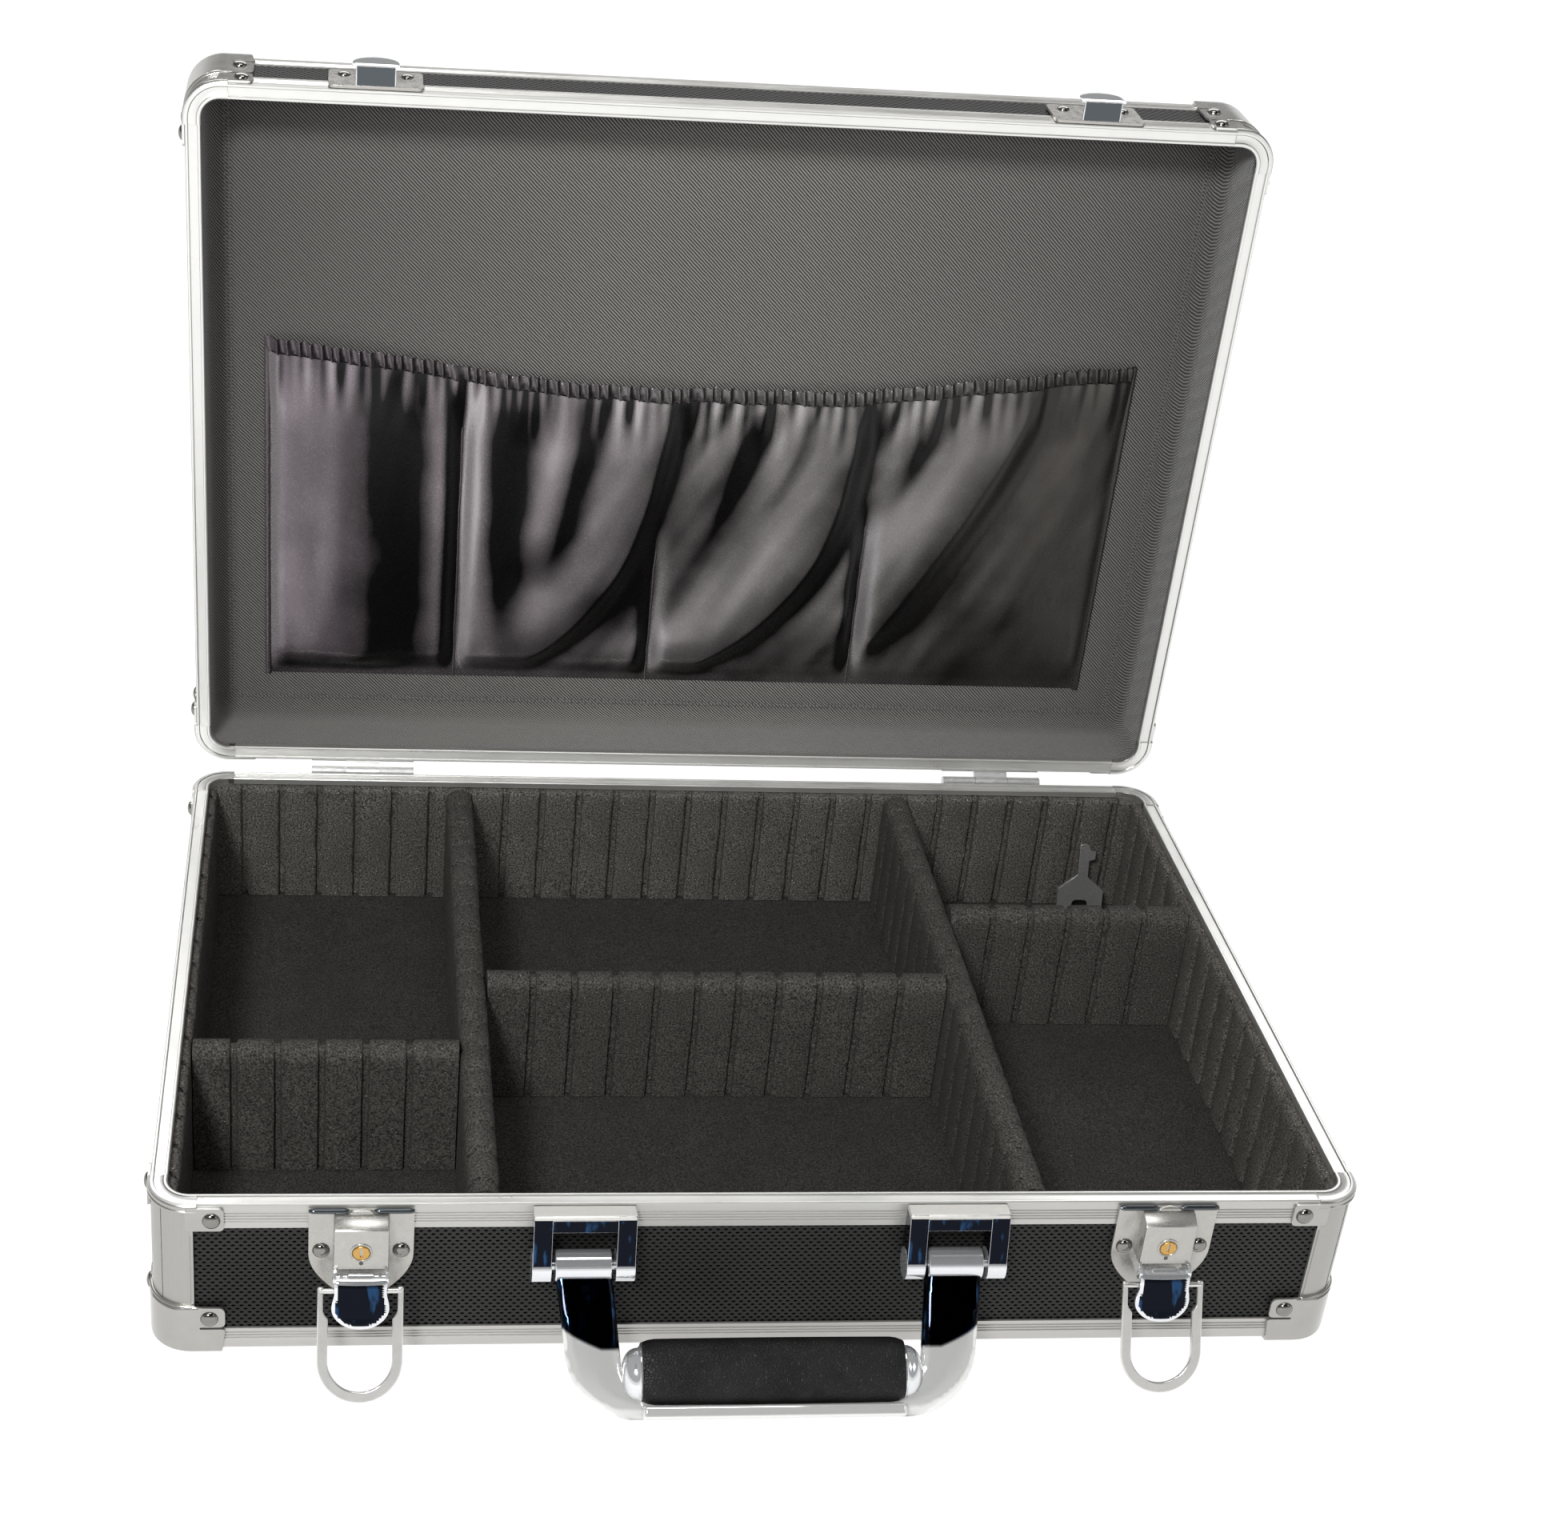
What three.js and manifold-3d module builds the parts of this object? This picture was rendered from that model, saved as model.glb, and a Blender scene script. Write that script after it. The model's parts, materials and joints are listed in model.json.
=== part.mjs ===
// An aluminium-framed chip case, standing open: a base with foam dividers, a lined lid on two
// hinges, two key latches with catches, a drop handle on two brackets, and a loose key.
// Millimetres. +X runs along the hinge line, +Y goes back to the hinges, +Z is up.
// The origin is the centre of the flat underside of the floor panel.
import * as THREE from 'three';
import { mergeVertices } from 'three/addons/utils/BufferGeometryUtils.js';
import Module from 'manifold-3d';

const wasm = await Module();
wasm.setup();

// ---- Driving dimensions ----
const CASE_WIDTH = 460;
const CASE_DEPTH = 320;
const BASE_HEIGHT = 69;
const LID_HEIGHT = 39;
const LID_OPEN_DEG = 88;
const CORNER_RADIUS = 15;
const GAP = 0.3; // free space kept between neighbouring pieces

// Frame sections: insets are measured inward from the outer face.
const BAND_HEIGHT = 11; // height of the rim's outer band
const EDGE_HEIGHT = 10; // height of the outer edge's band
const BAND_THICK = 1;
const RIM_WIDTH = 6.5;
const RIM_THICK = 3;
const PANEL_OUT = 1.2;
const PANEL_IN = 4;
const EDGE_CHAMFER = 1.2;
const EDGE_FOOT = 13.8;
const FLOOR_THICK = 3;
const JOINER_REACH = 19; // how far a rim joiner runs along each side from the corner
const JOINER_DEPTH = 3.9;
const TAB_REACH = 27.5; // end of a corner plate's riveted tab
const CAP_HEIGHT = 21;
const PLATE = 1; // sheet thickness of corner plates
const PLATE_GAP = 0.2; // free space between a corner plate and the frame under it

// Foam and lining.
const FOAM_FLOOR_TOP = 6.5;
const WALL_FOAM_IN = 10;
const DIVIDER_THICK = 12.5;
const DIVIDER_TOP = 67;
const LONG_DIVIDER_X = [-107, 103];
const SHORT_DIVIDER_Y = { left: -55, middle: -4.5, right: 51.5 };
const LINING_OUT = 4.2;
const LINING_THICK = 1.4;
const POCKET_HALF_WIDTH = 199.5;
const POCKET_BOTTOM = 28; // distance from the hinge side of the lid
const POCKET_TOP = 200;
const POCKET_DEPTH = 12;

// Hinges, latches and catches share the same two stations along X.
const HARDWARE_X = 152.5;
const HINGE_Y = CASE_DEPTH / 2 + 4.8;
const HINGE_Z = BASE_HEIGHT - 2;
const HINGE_HALF_WIDTH = 24;
const KNUCKLE_RADIUS = 2.6;
const LATCH_HALF_WIDTH = 19.5;
const HOUSING_HALF_WIDTH = 10.3;
const HOUSING_DEPTH = 8.6;
const HOUSING_BOTTOM = 44.6;
const HOUSING_TOP = 63.8;
const KEY_HOLE_Z = 53.2;
const PLUG_RADIUS = 3.2;
const LEVER_PIVOT = { out: 9.2, z: 42 }; // out is the distance in front of the case
const BAIL_PIN = { out: 11, z: 37.2 };
const BAIL_LENGTH = 42;
const BAIL_HALF_WIDTH = 15.9;
const BAIL_STRIP = 4;
const BAIL_THICK = 2;
const BAIL_REST_DEG = 26.5; // from straight down, resting on the table
const CATCH_OUT = 10.5;

// Handle.
const BRACKET_X = 70.5;
const BRACKET_HALF_WIDTH = 19.25;
const ARM_HALF_WIDTH = 10.5;
const HANDLE_PIVOT = { out: 6.5, z: 45 };
const HANDLE_LENGTH = 56.7;
const HANDLE_REST_DEG = 44; // from straight down, resting on the table
const EAR_RADIUS = 6.2;
const KNUCKLE_OF_ARM = 6; // radius of the arm's rolled end
const GRIP_HALF_LENGTH = 49.2;
const BAR_HEIGHT = 14; // depth of the frame's lower bar, inside the grip
const GRIP_NEAR = 27; // the grip's reach, measured from the pivot
const GRIP_FAR = 51.4;

const FRONT = -CASE_DEPTH / 2;
const BACK = CASE_DEPTH / 2;
const PARTING_LID = BASE_HEIGHT + GAP; // height of the closed lid's rim face
const CASE_TOP = PARTING_LID + LID_HEIGHT;

// ---- Materials ----
const material = (color, roughness, metalness) =>
  new THREE.MeshStandardMaterial({ color, roughness, metalness });
const aluminium = material(0xc9cbcc, 0.35, 0.9);
const chrome = material(0xd8dadc, 0.12, 1);
const panelBlack = material(0x1c1c1d, 0.55, 0);
const foamGrey = material(0x2a2a2a, 0.95, 0);
const liningCloth = material(0x2b2726, 0.9, 0);
const pocketSatin = material(0x151516, 0.45, 0);
const brass = material(0xc08a3a, 0.25, 1);
const leather = material(0x19191a, 0.6, 0);
const steel = material(0xa8abad, 0.3, 1);

// ---- Geometry helpers ----

/** Flips a geometry's triangles when its enclosed volume comes out negative. */
function facingOut(geometry) {
  const p = geometry.attributes.position;
  const index = geometry.index.array;
  const [a, b, c] = [new THREE.Vector3(), new THREE.Vector3(), new THREE.Vector3()];
  let volume = 0;
  for (let i = 0; i < index.length; i += 3) {
    a.fromBufferAttribute(p, index[i]);
    b.fromBufferAttribute(p, index[i + 1]);
    c.fromBufferAttribute(p, index[i + 2]);
    volume += a.dot(b.cross(c));
  }
  if (volume < 0) {
    for (let i = 0; i < index.length; i += 3) {
      [index[i], index[i + 1]] = [index[i + 1], index[i]];
    }
  }
  return geometry;
}

/** One closed surface of shared vertices, with no collapsed triangles. */
function closed(geometry) {
  const bare = geometry.clone();
  bare.deleteAttribute('normal');
  bare.deleteAttribute('uv');
  const merged = mergeVertices(bare, 1e-4);
  const old = merged.index.array;
  const kept = [];
  for (let i = 0; i < old.length; i += 3) {
    const [a, b, c] = [old[i], old[i + 1], old[i + 2]];
    if (a !== b && b !== c && c !== a) kept.push(a, b, c);
  }
  merged.setIndex(kept);
  return facingOut(merged);
}

function toSolid(geometry) {
  const merged = closed(geometry);
  return new wasm.Manifold(new wasm.Mesh({
    numProp: 3,
    vertProperties: Float32Array.from(merged.attributes.position.array),
    triVerts: Uint32Array.from(merged.index.array),
  }));
}

function toGeometry(solid) {
  const mesh = solid.getMesh();
  const geometry = new THREE.BufferGeometry();
  geometry.setAttribute('position', new THREE.BufferAttribute(mesh.vertProperties, 3));
  geometry.setIndex(new THREE.BufferAttribute(mesh.triVerts, 1));
  return geometry;
}

const join = (first, ...rest) =>
  toGeometry(rest.reduce((sum, next) => sum.add(toSolid(next)), toSolid(first)));
const cut = (first, ...rest) =>
  toGeometry(rest.reduce((sum, next) => sum.subtract(toSolid(next)), toSolid(first)));
const common = (first, second) => toGeometry(toSolid(first).intersect(toSolid(second)));

function box(x0, x1, y0, y1, z0, z1) {
  const geometry = new THREE.BoxGeometry(x1 - x0, y1 - y0, z1 - z0);
  return geometry.translate((x0 + x1) / 2, (y0 + y1) / 2, (z0 + z1) / 2);
}

function outline(points) {
  return new THREE.Shape(points.map(([a, b]) => new THREE.Vector2(a, b)));
}

function roundedRectangle(x0, x1, y0, y1, radius) {
  const shape = new THREE.Shape();
  shape.absarc(x1 - radius, y0 + radius, radius, -Math.PI / 2, 0);
  shape.absarc(x1 - radius, y1 - radius, radius, 0, Math.PI / 2);
  shape.absarc(x0 + radius, y1 - radius, radius, Math.PI / 2, Math.PI);
  shape.absarc(x0 + radius, y0 + radius, radius, Math.PI, 1.5 * Math.PI);
  return shape;
}

const extrude = (shape, depth, curveSegments = 4) =>
  new THREE.ExtrudeGeometry(shape, { depth, curveSegments, bevelEnabled: false });

/** A shape drawn in X and Y, standing from z0 to z1. */
const prismZ = (shape, z0, z1, curveSegments) =>
  extrude(shape, z1 - z0, curveSegments).translate(0, 0, z0);

/** A shape drawn in X and Z, running from y0 to y1. */
const prismY = (shape, y0, y1, curveSegments) =>
  extrude(shape, y1 - y0, curveSegments).rotateX(Math.PI / 2).translate(0, y1, 0);

/** A shape drawn in Y and Z, running from x0 to x1. */
const prismX = (shape, x0, x1, curveSegments) =>
  extrude(shape, x1 - x0, curveSegments).rotateX(Math.PI / 2).rotateZ(Math.PI / 2)
    .translate(x0, 0, 0);

const rodX = (radius, x0, x1, y, z, sides = 12) =>
  new THREE.CylinderGeometry(radius, radius, x1 - x0, sides)
    .rotateZ(Math.PI / 2).translate((x0 + x1) / 2, y, z);

const rodY = (radius, y0, y1, x, z, sides = 16) =>
  new THREE.CylinderGeometry(radius, radius, y1 - y0, sides)
    .translate(0, (y0 + y1) / 2, 0).translate(x, 0, z);

/** Mirrors a geometry in X and/or Y by factors of 1 or -1. */
const mirrored = (geometry, sx, sy) => closed(geometry.clone().scale(sx, sy, 1));

/** A closed profile of [inset, z] points carried round a rounded rectangle of the case's plan. */
function frame(profile, cornerSteps = 4) {
  const points = [...profile, profile[0]].map(([inset, z]) => new THREE.Vector2(inset, z));
  const columns = 4 * (cornerSteps + 1);
  const geometry = new THREE.LatheGeometry(points, columns);
  const position = geometry.attributes.position;
  for (let i = 0; i <= columns; i++) {
    const quadrant = Math.floor((i % columns) / (cornerSteps + 1));
    const step = (i % columns) % (cornerSteps + 1);
    const angle = (quadrant + step / cornerSteps) * Math.PI / 2;
    const cornerX = CASE_WIDTH / 2 - CORNER_RADIUS;
    const cornerY = CASE_DEPTH / 2 - CORNER_RADIUS;
    const sx = quadrant === 0 || quadrant === 3 ? 1 : -1;
    const sy = quadrant < 2 ? 1 : -1;
    points.forEach(({ x: inset, y: z }, j) => {
      const r = CORNER_RADIUS - inset;
      const px = sx * cornerX + r * Math.cos(angle);
      const py = sy * cornerY + r * Math.sin(angle);
      position.setXYZ(i * points.length + j, px, py, z);
    });
  }
  return closed(geometry);
}

/** The part of a frame within reach of the front left corner. */
const frontLeftCorner = (profile, reach) => common(
  frame(profile),
  box(-CASE_WIDTH, reach - CASE_WIDTH / 2, -CASE_DEPTH, reach - CASE_DEPTH / 2, -50, 200),
);

/** Turns what lies on the front face at the front left corner onto the left face. */
function ontoLeftFace(geometry) {
  const turned = geometry.clone().translate(CASE_WIDTH / 2, CASE_DEPTH / 2, 0);
  turned.scale(-1, 1, 1).rotateZ(-Math.PI / 2);
  return closed(turned.translate(-CASE_WIDTH / 2, -CASE_DEPTH / 2, 0));
}

/** A domed rivet head on a face that looks towards -Y. */
function rivet(x, y, z, radius = 3.4, height = 1.9) {
  const profile = [[0, -0.4], [radius, -0.4], [radius, 0.3], [radius * 0.65, height * 0.8], [0, height]];
  const points = profile.map(([a, b]) => new THREE.Vector2(a, b));
  return new THREE.LatheGeometry(points, 8).rotateX(Math.PI).translate(x, y, z);
}

// ---- The scene graph ----
const root = new THREE.Group();
const lidPivot = new THREE.Group();
lidPivot.position.set(0, HINGE_Y, HINGE_Z);
lidPivot.rotation.x = -THREE.MathUtils.degToRad(LID_OPEN_DEG);
const lid = new THREE.Group(); // its pieces are drawn where the closed lid puts them
lid.position.set(0, -HINGE_Y, -HINGE_Z);
lidPivot.add(lid);
root.add(lidPivot);

function place(name, geometry, colour, group = root) {
  const shown = geometry.clone();
  shown.computeVertexNormals();
  const mesh = new THREE.Mesh(shown, colour);
  mesh.name = name;
  group.add(mesh);
  return mesh;
}

const CORNERS = [
  ['front_left', 1, 1], ['front_right', -1, 1], ['back_left', 1, -1], ['back_right', -1, -1],
];

/** Places a front left piece and its three mirror images. */
function placeCorners(prefix, geometry, colour, group) {
  for (const [name, sx, sy] of CORNERS) {
    place(`${prefix}_${name}`, mirrored(geometry, sx, sy), colour, group);
  }
}

// A half's heights are worked from the parting plane (away = 0) or from its outer face.
const base = {
  fromParting: (away) => BASE_HEIGHT - away,
  fromOuter: (away) => away,
};
const top = {
  fromParting: (away) => PARTING_LID + away,
  fromOuter: (away) => CASE_TOP - away,
};
const atHeight = (profile, height) => profile.map(([inset, away]) => [inset, height(away)]);

// ---- Frames, panels and corners ----

/** The rim: an outer band and a flat face with a groove (base) or a tongue (lid). */
function rimFrame(half, seal) {
  const profile = [
    [0, 0], ...seal, [RIM_WIDTH, 0], [RIM_WIDTH, RIM_THICK], [BAND_THICK, RIM_THICK],
    [BAND_THICK, BAND_HEIGHT], [0, BAND_HEIGHT],
  ];
  const corner = frontLeftCorner(atHeight([
    [-2, -3], [JOINER_DEPTH + GAP, -3], [JOINER_DEPTH + GAP, BAND_HEIGHT + 1],
    [-2, BAND_HEIGHT + 1],
  ], half.fromParting), JOINER_REACH + GAP);
  const corners = CORNERS.map(([, sx, sy]) => mirrored(corner, sx, sy));
  return cut(frame(atHeight(profile, half.fromParting)), ...corners);
}

/** The outer edge: a band, a chamfer and a foot that holds the flat panel. */
const edgeFrame = (half) => frame(atHeight([
  [0, EDGE_HEIGHT], [0, EDGE_CHAMFER], [EDGE_CHAMFER, 0], [EDGE_FOOT, 0], [EDGE_FOOT, FLOOR_THICK],
  [BAND_THICK, FLOOR_THICK], [BAND_THICK, EDGE_HEIGHT],
], half.fromOuter));

/** A flat sheet of the case's plan, inset all round, between two heights. */
function planSheet(inset, z0, z1) {
  const radius = Math.max(CORNER_RADIUS - inset, 1);
  const [hx, hy] = [CASE_WIDTH / 2 - inset, CASE_DEPTH / 2 - inset];
  return prismZ(roundedRectangle(-hx, hx, -hy, hy, radius), Math.min(z0, z1), Math.max(z0, z1));
}

/** A tab on the front face beside the front left corner, with its rivet. */
function rivetedTab(z0, z1, rivetX, rivetZ) {
  const x0 = JOINER_REACH - 5 - CASE_WIDTH / 2;
  const plate = prismY(
    roundedRectangle(x0, TAB_REACH - CASE_WIDTH / 2, Math.min(z0, z1), Math.max(z0, z1), 2),
    FRONT - PLATE_GAP - PLATE, FRONT - PLATE_GAP, 2,
  );
  return join(plate, rivet(rivetX, FRONT - PLATE, rivetZ));
}

/** A rim joiner: it plugs the corner between two rim lengths and rivets to both bands. */
function rimJoiner(half) {
  const core = frontLeftCorner(atHeight([
    [-PLATE, 1.6], [0.6, 0], [JOINER_DEPTH, 0], [JOINER_DEPTH, RIM_THICK - GAP],
    [BAND_THICK, RIM_THICK - GAP], [BAND_THICK, BAND_HEIGHT], [-PLATE, BAND_HEIGHT],
  ], half.fromParting), JOINER_REACH);
  const tab = rivetedTab(
    half.fromParting(1.4), half.fromParting(BAND_HEIGHT + 0.6), -207, half.fromParting(6.8),
  );
  return join(core, tab, ontoLeftFace(tab));
}

/** A corner cap over the outer edge, with a riveted tab on each side. */
function cornerCap(half, height) {
  const [outer, inner] = [-PLATE_GAP - PLATE, -PLATE_GAP];
  const shell = (capHeight) => atHeight([
    [outer, capHeight], [outer, outer + EDGE_CHAMFER], [outer + EDGE_CHAMFER, outer],
    [EDGE_FOOT, outer], [EDGE_FOOT, inner], [EDGE_CHAMFER, inner], [inner, EDGE_CHAMFER],
    [inner, capHeight],
  ], half.fromOuter);
  const tall = frontLeftCorner(shell(height), CORNER_RADIUS + 2);
  const low = frontLeftCorner(shell(EDGE_HEIGHT), TAB_REACH + 1);
  const tab = rivetedTab(
    half.fromOuter(EDGE_HEIGHT + 1.2), half.fromOuter(CAP_HEIGHT), -208, half.fromOuter(15.8),
  );
  return join(tall, low, tab, ontoLeftFace(tab));
}

const GROOVE = [[1.4, 0], [1.4, 0.9], [5.1, 0.9], [5.1, 0]];
const TONGUE = [[2.6, 0], [2.6, -0.6], [4, -0.6], [4, 0]];
place('base_rim', rimFrame(base, GROOVE), aluminium);
place('base_bottom_edge', edgeFrame(base), aluminium);
place('lid_rim', rimFrame(top, TONGUE), aluminium, lid);
place('lid_top_edge', edgeFrame(top), aluminium, lid);
placeCorners('base_joiner', rimJoiner(base), chrome, root);
placeCorners('lid_joiner', rimJoiner(top), chrome, lid);
placeCorners('base_cap', cornerCap(base, CAP_HEIGHT), chrome, root);
placeCorners('lid_cap', cornerCap(top, LID_HEIGHT - BAND_HEIGHT - 1), chrome, lid);

const POST_REACH = CORNER_RADIUS + 1.2;
placeCorners('base_post', frontLeftCorner([
  [0, EDGE_HEIGHT + GAP], [PANEL_IN, EDGE_HEIGHT + GAP],
  [PANEL_IN, BASE_HEIGHT - BAND_HEIGHT - GAP], [0, BASE_HEIGHT - BAND_HEIGHT - GAP],
], POST_REACH), aluminium, root);

/** The base's four side panels stand between the corner posts. */
function placeSidePanels() {
  const [z0, z1] = [FLOOR_THICK + GAP, BASE_HEIGHT - RIM_THICK - GAP];
  const endX = CASE_WIDTH / 2 - POST_REACH - GAP;
  const endY = CASE_DEPTH / 2 - POST_REACH - GAP;
  const front = box(-endX, endX, FRONT + PANEL_OUT, FRONT + PANEL_IN, z0, z1);
  const outX = CASE_WIDTH / 2 - PANEL_OUT;
  const inX = CASE_WIDTH / 2 - PANEL_IN;
  place('base_front_panel', front, panelBlack);
  place('base_back_panel', mirrored(front, 1, -1), panelBlack);
  place('base_left_panel', box(-outX, -inX, -endY, endY, z0, z1), panelBlack);
  place('base_right_panel', box(inX, outX, -endY, endY, z0, z1), panelBlack);
}
placeSidePanels();
place('base_floor_panel', planSheet(EDGE_FOOT + GAP, 0, FLOOR_THICK), panelBlack);
place('lid_top_panel', planSheet(
  EDGE_FOOT + GAP, top.fromOuter(0), top.fromOuter(FLOOR_THICK),
), panelBlack, lid);
place('lid_side_band', frame(atHeight([
  [PANEL_OUT, RIM_THICK + GAP], [PANEL_IN - GAP, RIM_THICK + GAP],
  [PANEL_IN - GAP, LID_HEIGHT - FLOOR_THICK - GAP],
  [PANEL_OUT, LID_HEIGHT - FLOOR_THICK - GAP],
], top.fromParting)), panelBlack, lid);

// ---- Foam in the base ----
const WALL_FOAM_TOP = BASE_HEIGHT - RIM_THICK - GAP;
place('floor_foam', planSheet(PANEL_IN + GAP, FLOOR_THICK + GAP, FOAM_FLOOR_TOP), foamGrey);
place('wall_foam', frame([
  [PANEL_IN + GAP, FOAM_FLOOR_TOP + GAP], [WALL_FOAM_IN, FOAM_FLOOR_TOP + GAP],
  [WALL_FOAM_IN, WALL_FOAM_TOP], [PANEL_IN + GAP, WALL_FOAM_TOP],
]), foamGrey);

/** The cross-section of a divider: a folded foam sheet, round along its top. */
function dividerSection() {
  const r = DIVIDER_THICK / 2;
  const shape = new THREE.Shape();
  shape.moveTo(-r, FOAM_FLOOR_TOP + GAP);
  shape.lineTo(r, FOAM_FLOOR_TOP + GAP);
  shape.absarc(0, DIVIDER_TOP - r, r, 0, Math.PI);
  return shape;
}

function placeDividers() {
  const innerX = CASE_WIDTH / 2 - WALL_FOAM_IN - GAP;
  const innerY = CASE_DEPTH / 2 - WALL_FOAM_IN - GAP;
  const [leftX, rightX] = LONG_DIVIDER_X;
  const clear = DIVIDER_THICK / 2 + GAP;
  const along = prismY(dividerSection(), -innerY, innerY, 8);
  place('divider_long_left', along.clone().translate(leftX, 0, 0), foamGrey);
  place('divider_long_right', along.clone().translate(rightX, 0, 0), foamGrey);
  const spans = {
    left: [-innerX, leftX - clear],
    middle: [leftX + clear, rightX - clear],
    right: [rightX + clear, innerX],
  };
  for (const [name, [x0, x1]] of Object.entries(spans)) {
    const across = prismX(dividerSection(), x0, x1, 8).translate(0, SHORT_DIVIDER_Y[name], 0);
    place(`divider_${name}`, across, foamGrey);
  }
}
placeDividers();

// ---- Lining and pocket in the lid ----
const LINING_FACE = LID_HEIGHT - FLOOR_THICK - GAP - LINING_THICK;
place('lid_lining', cut(
  planSheet(
    LINING_OUT, top.fromParting(RIM_THICK + GAP), top.fromParting(LINING_FACE + LINING_THICK),
  ),
  planSheet(LINING_OUT + LINING_THICK, top.fromParting(0), top.fromParting(LINING_FACE)),
), liningCloth, lid);

/** The pocket: a cloth sheet held at its bottom and sides, open along its hem. */
function pocket() {
  const cloth = 1.2;
  const [bottomY, hemY] = [BACK - POCKET_BOTTOM, BACK - POCKET_TOP];
  const [outer, inner] = [LINING_FACE - GAP, LINING_FACE - POCKET_DEPTH];
  const half = POCKET_HALF_WIDTH;
  return cut(
    box(-half, half, hemY, bottomY, top.fromParting(inner), top.fromParting(outer)),
    box(
      cloth - half, half - cloth, hemY - 5, bottomY - cloth,
      top.fromParting(inner + cloth), top.fromParting(outer + 5),
    ),
  );
}
place('lid_pocket', pocket(), pocketSatin, lid);

// ---- Hinges ----

/** A hinge leaf on the back face, at x = 0, with its knuckles between the given X pairs. */
function hingeLeaf(z0, z1, knuckles, rivetZ) {
  const leaf = box(-HINGE_HALF_WIDTH, HINGE_HALF_WIDTH, BACK + 0.2, BACK + 1.4, z0, z1);
  const near = Math.abs(z0 - HINGE_Z) < Math.abs(z1 - HINGE_Z) ? z0 : z1;
  const side = Math.sign(z0 + z1 - 2 * HINGE_Z);
  const web = outline([
    [BACK + 0.2, near + side * 2], [BACK + 0.2, near - side * 0.6], [HINGE_Y - 1, HINGE_Z],
    [HINGE_Y, HINGE_Z + side * 2.2], [BACK + 1.4, near + side * 2],
  ]);
  const pieces = knuckles.flatMap(([x0, x1]) => [
    rodX(KNUCKLE_RADIUS, x0, x1, HINGE_Y, HINGE_Z),
    prismX(web, x0, x1),
  ]);
  const heads = [-1, 0, 1].map((k) =>
    mirrored(rivet(16 * k, -BACK - 1.4, rivetZ, 2.6, 1.3), 1, -1));
  return join(leaf, ...pieces, ...heads);
}

function placeHinges() {
  const third = HINGE_HALF_WIDTH / 3;
  const outerKnuckles = [[-HINGE_HALF_WIDTH, -third - 0.2], [third + 0.2, HINGE_HALF_WIDTH]];
  const pin = (radius) => rodX(radius, -HINGE_HALF_WIDTH + 1, HINGE_HALF_WIDTH - 1, HINGE_Y, HINGE_Z);
  const baseLeaf = join(hingeLeaf(44, 63, outerKnuckles, 53), pin(1.2));
  const lidLeaf = cut(hingeLeaf(PARTING_LID + 2, PARTING_LID + 22, [[-third, third]], 82), pin(1.6));
  for (const [side, x] of [['left', -HARDWARE_X], ['right', HARDWARE_X]]) {
    place(`hinge_base_leaf_${side}`, baseLeaf.clone().translate(x, 0, 0), steel);
    place(`hinge_lid_leaf_${side}`, lidLeaf.clone().translate(x, 0, 0), steel, lid);
  }
}
placeHinges();

// ---- Latches and catches, drawn at x = 0 on the front face ----

/** The latch's plate, lock housing, lever ears and rivets. */
function latchBody() {
  const w = LATCH_HALF_WIDTH;
  const tip = HOUSING_HALF_WIDTH;
  const shape = outline([[-w, 68.2], [-w, 47]]);
  shape.quadraticCurveTo(-w, 36, -tip, 30);
  shape.lineTo(tip, 30);
  shape.quadraticCurveTo(w, 36, w, 47);
  shape.lineTo(w, 68.2);
  const plate = prismY(shape, FRONT - 1.5, FRONT - 0.2);
  const roll = box(-w, w, FRONT - 3, FRONT - 1, 65.8, 68.2);
  const y0 = FRONT - HOUSING_DEPTH;
  const housing = box(-tip, tip, y0, FRONT - 1, HOUSING_BOTTOM, HOUSING_TOP);
  const ears = [-1, 1].map((side) => {
    const [a, b] = [side * 8.9, side * tip];
    return prismX(outline([
      [y0 + 3, HOUSING_BOTTOM + 1], [y0 - 2.8, HOUSING_BOTTOM], [y0 - 2.8, 40.2], [y0 + 1.6, 39.4],
      [FRONT - 1.2, 41],  [FRONT - 1.2, HOUSING_BOTTOM + 1],
    ]), Math.min(a, b), Math.max(a, b));
  });
  const heads = [-1, 1].map((side) => rivet(14.7 * side, FRONT - 1.4, 48.6, 3.5, 2.1));
  const whole = join(plate, roll, housing, ...ears, ...heads);
  return cut(
    whole,
    rodY(PLUG_RADIUS + GAP, y0 - 1, y0 + 6, 0, KEY_HOLE_Z, 20),
    rodX(1.5, -12, 12, FRONT - LEVER_PIVOT.out, LEVER_PIVOT.z),
  );
}

/** The lock's round plug, with its key slot. */
function keyCylinder() {
  const y0 = FRONT - HOUSING_DEPTH - 0.5;
  return cut(
    rodY(PLUG_RADIUS, y0, y0 + 6, 0, KEY_HOLE_Z, 20),
    box(-0.5, 0.5, y0 - 1, y0 + 3.5, KEY_HOLE_Z - 2.2, KEY_HOLE_Z + 2.2),
  );
}

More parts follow.
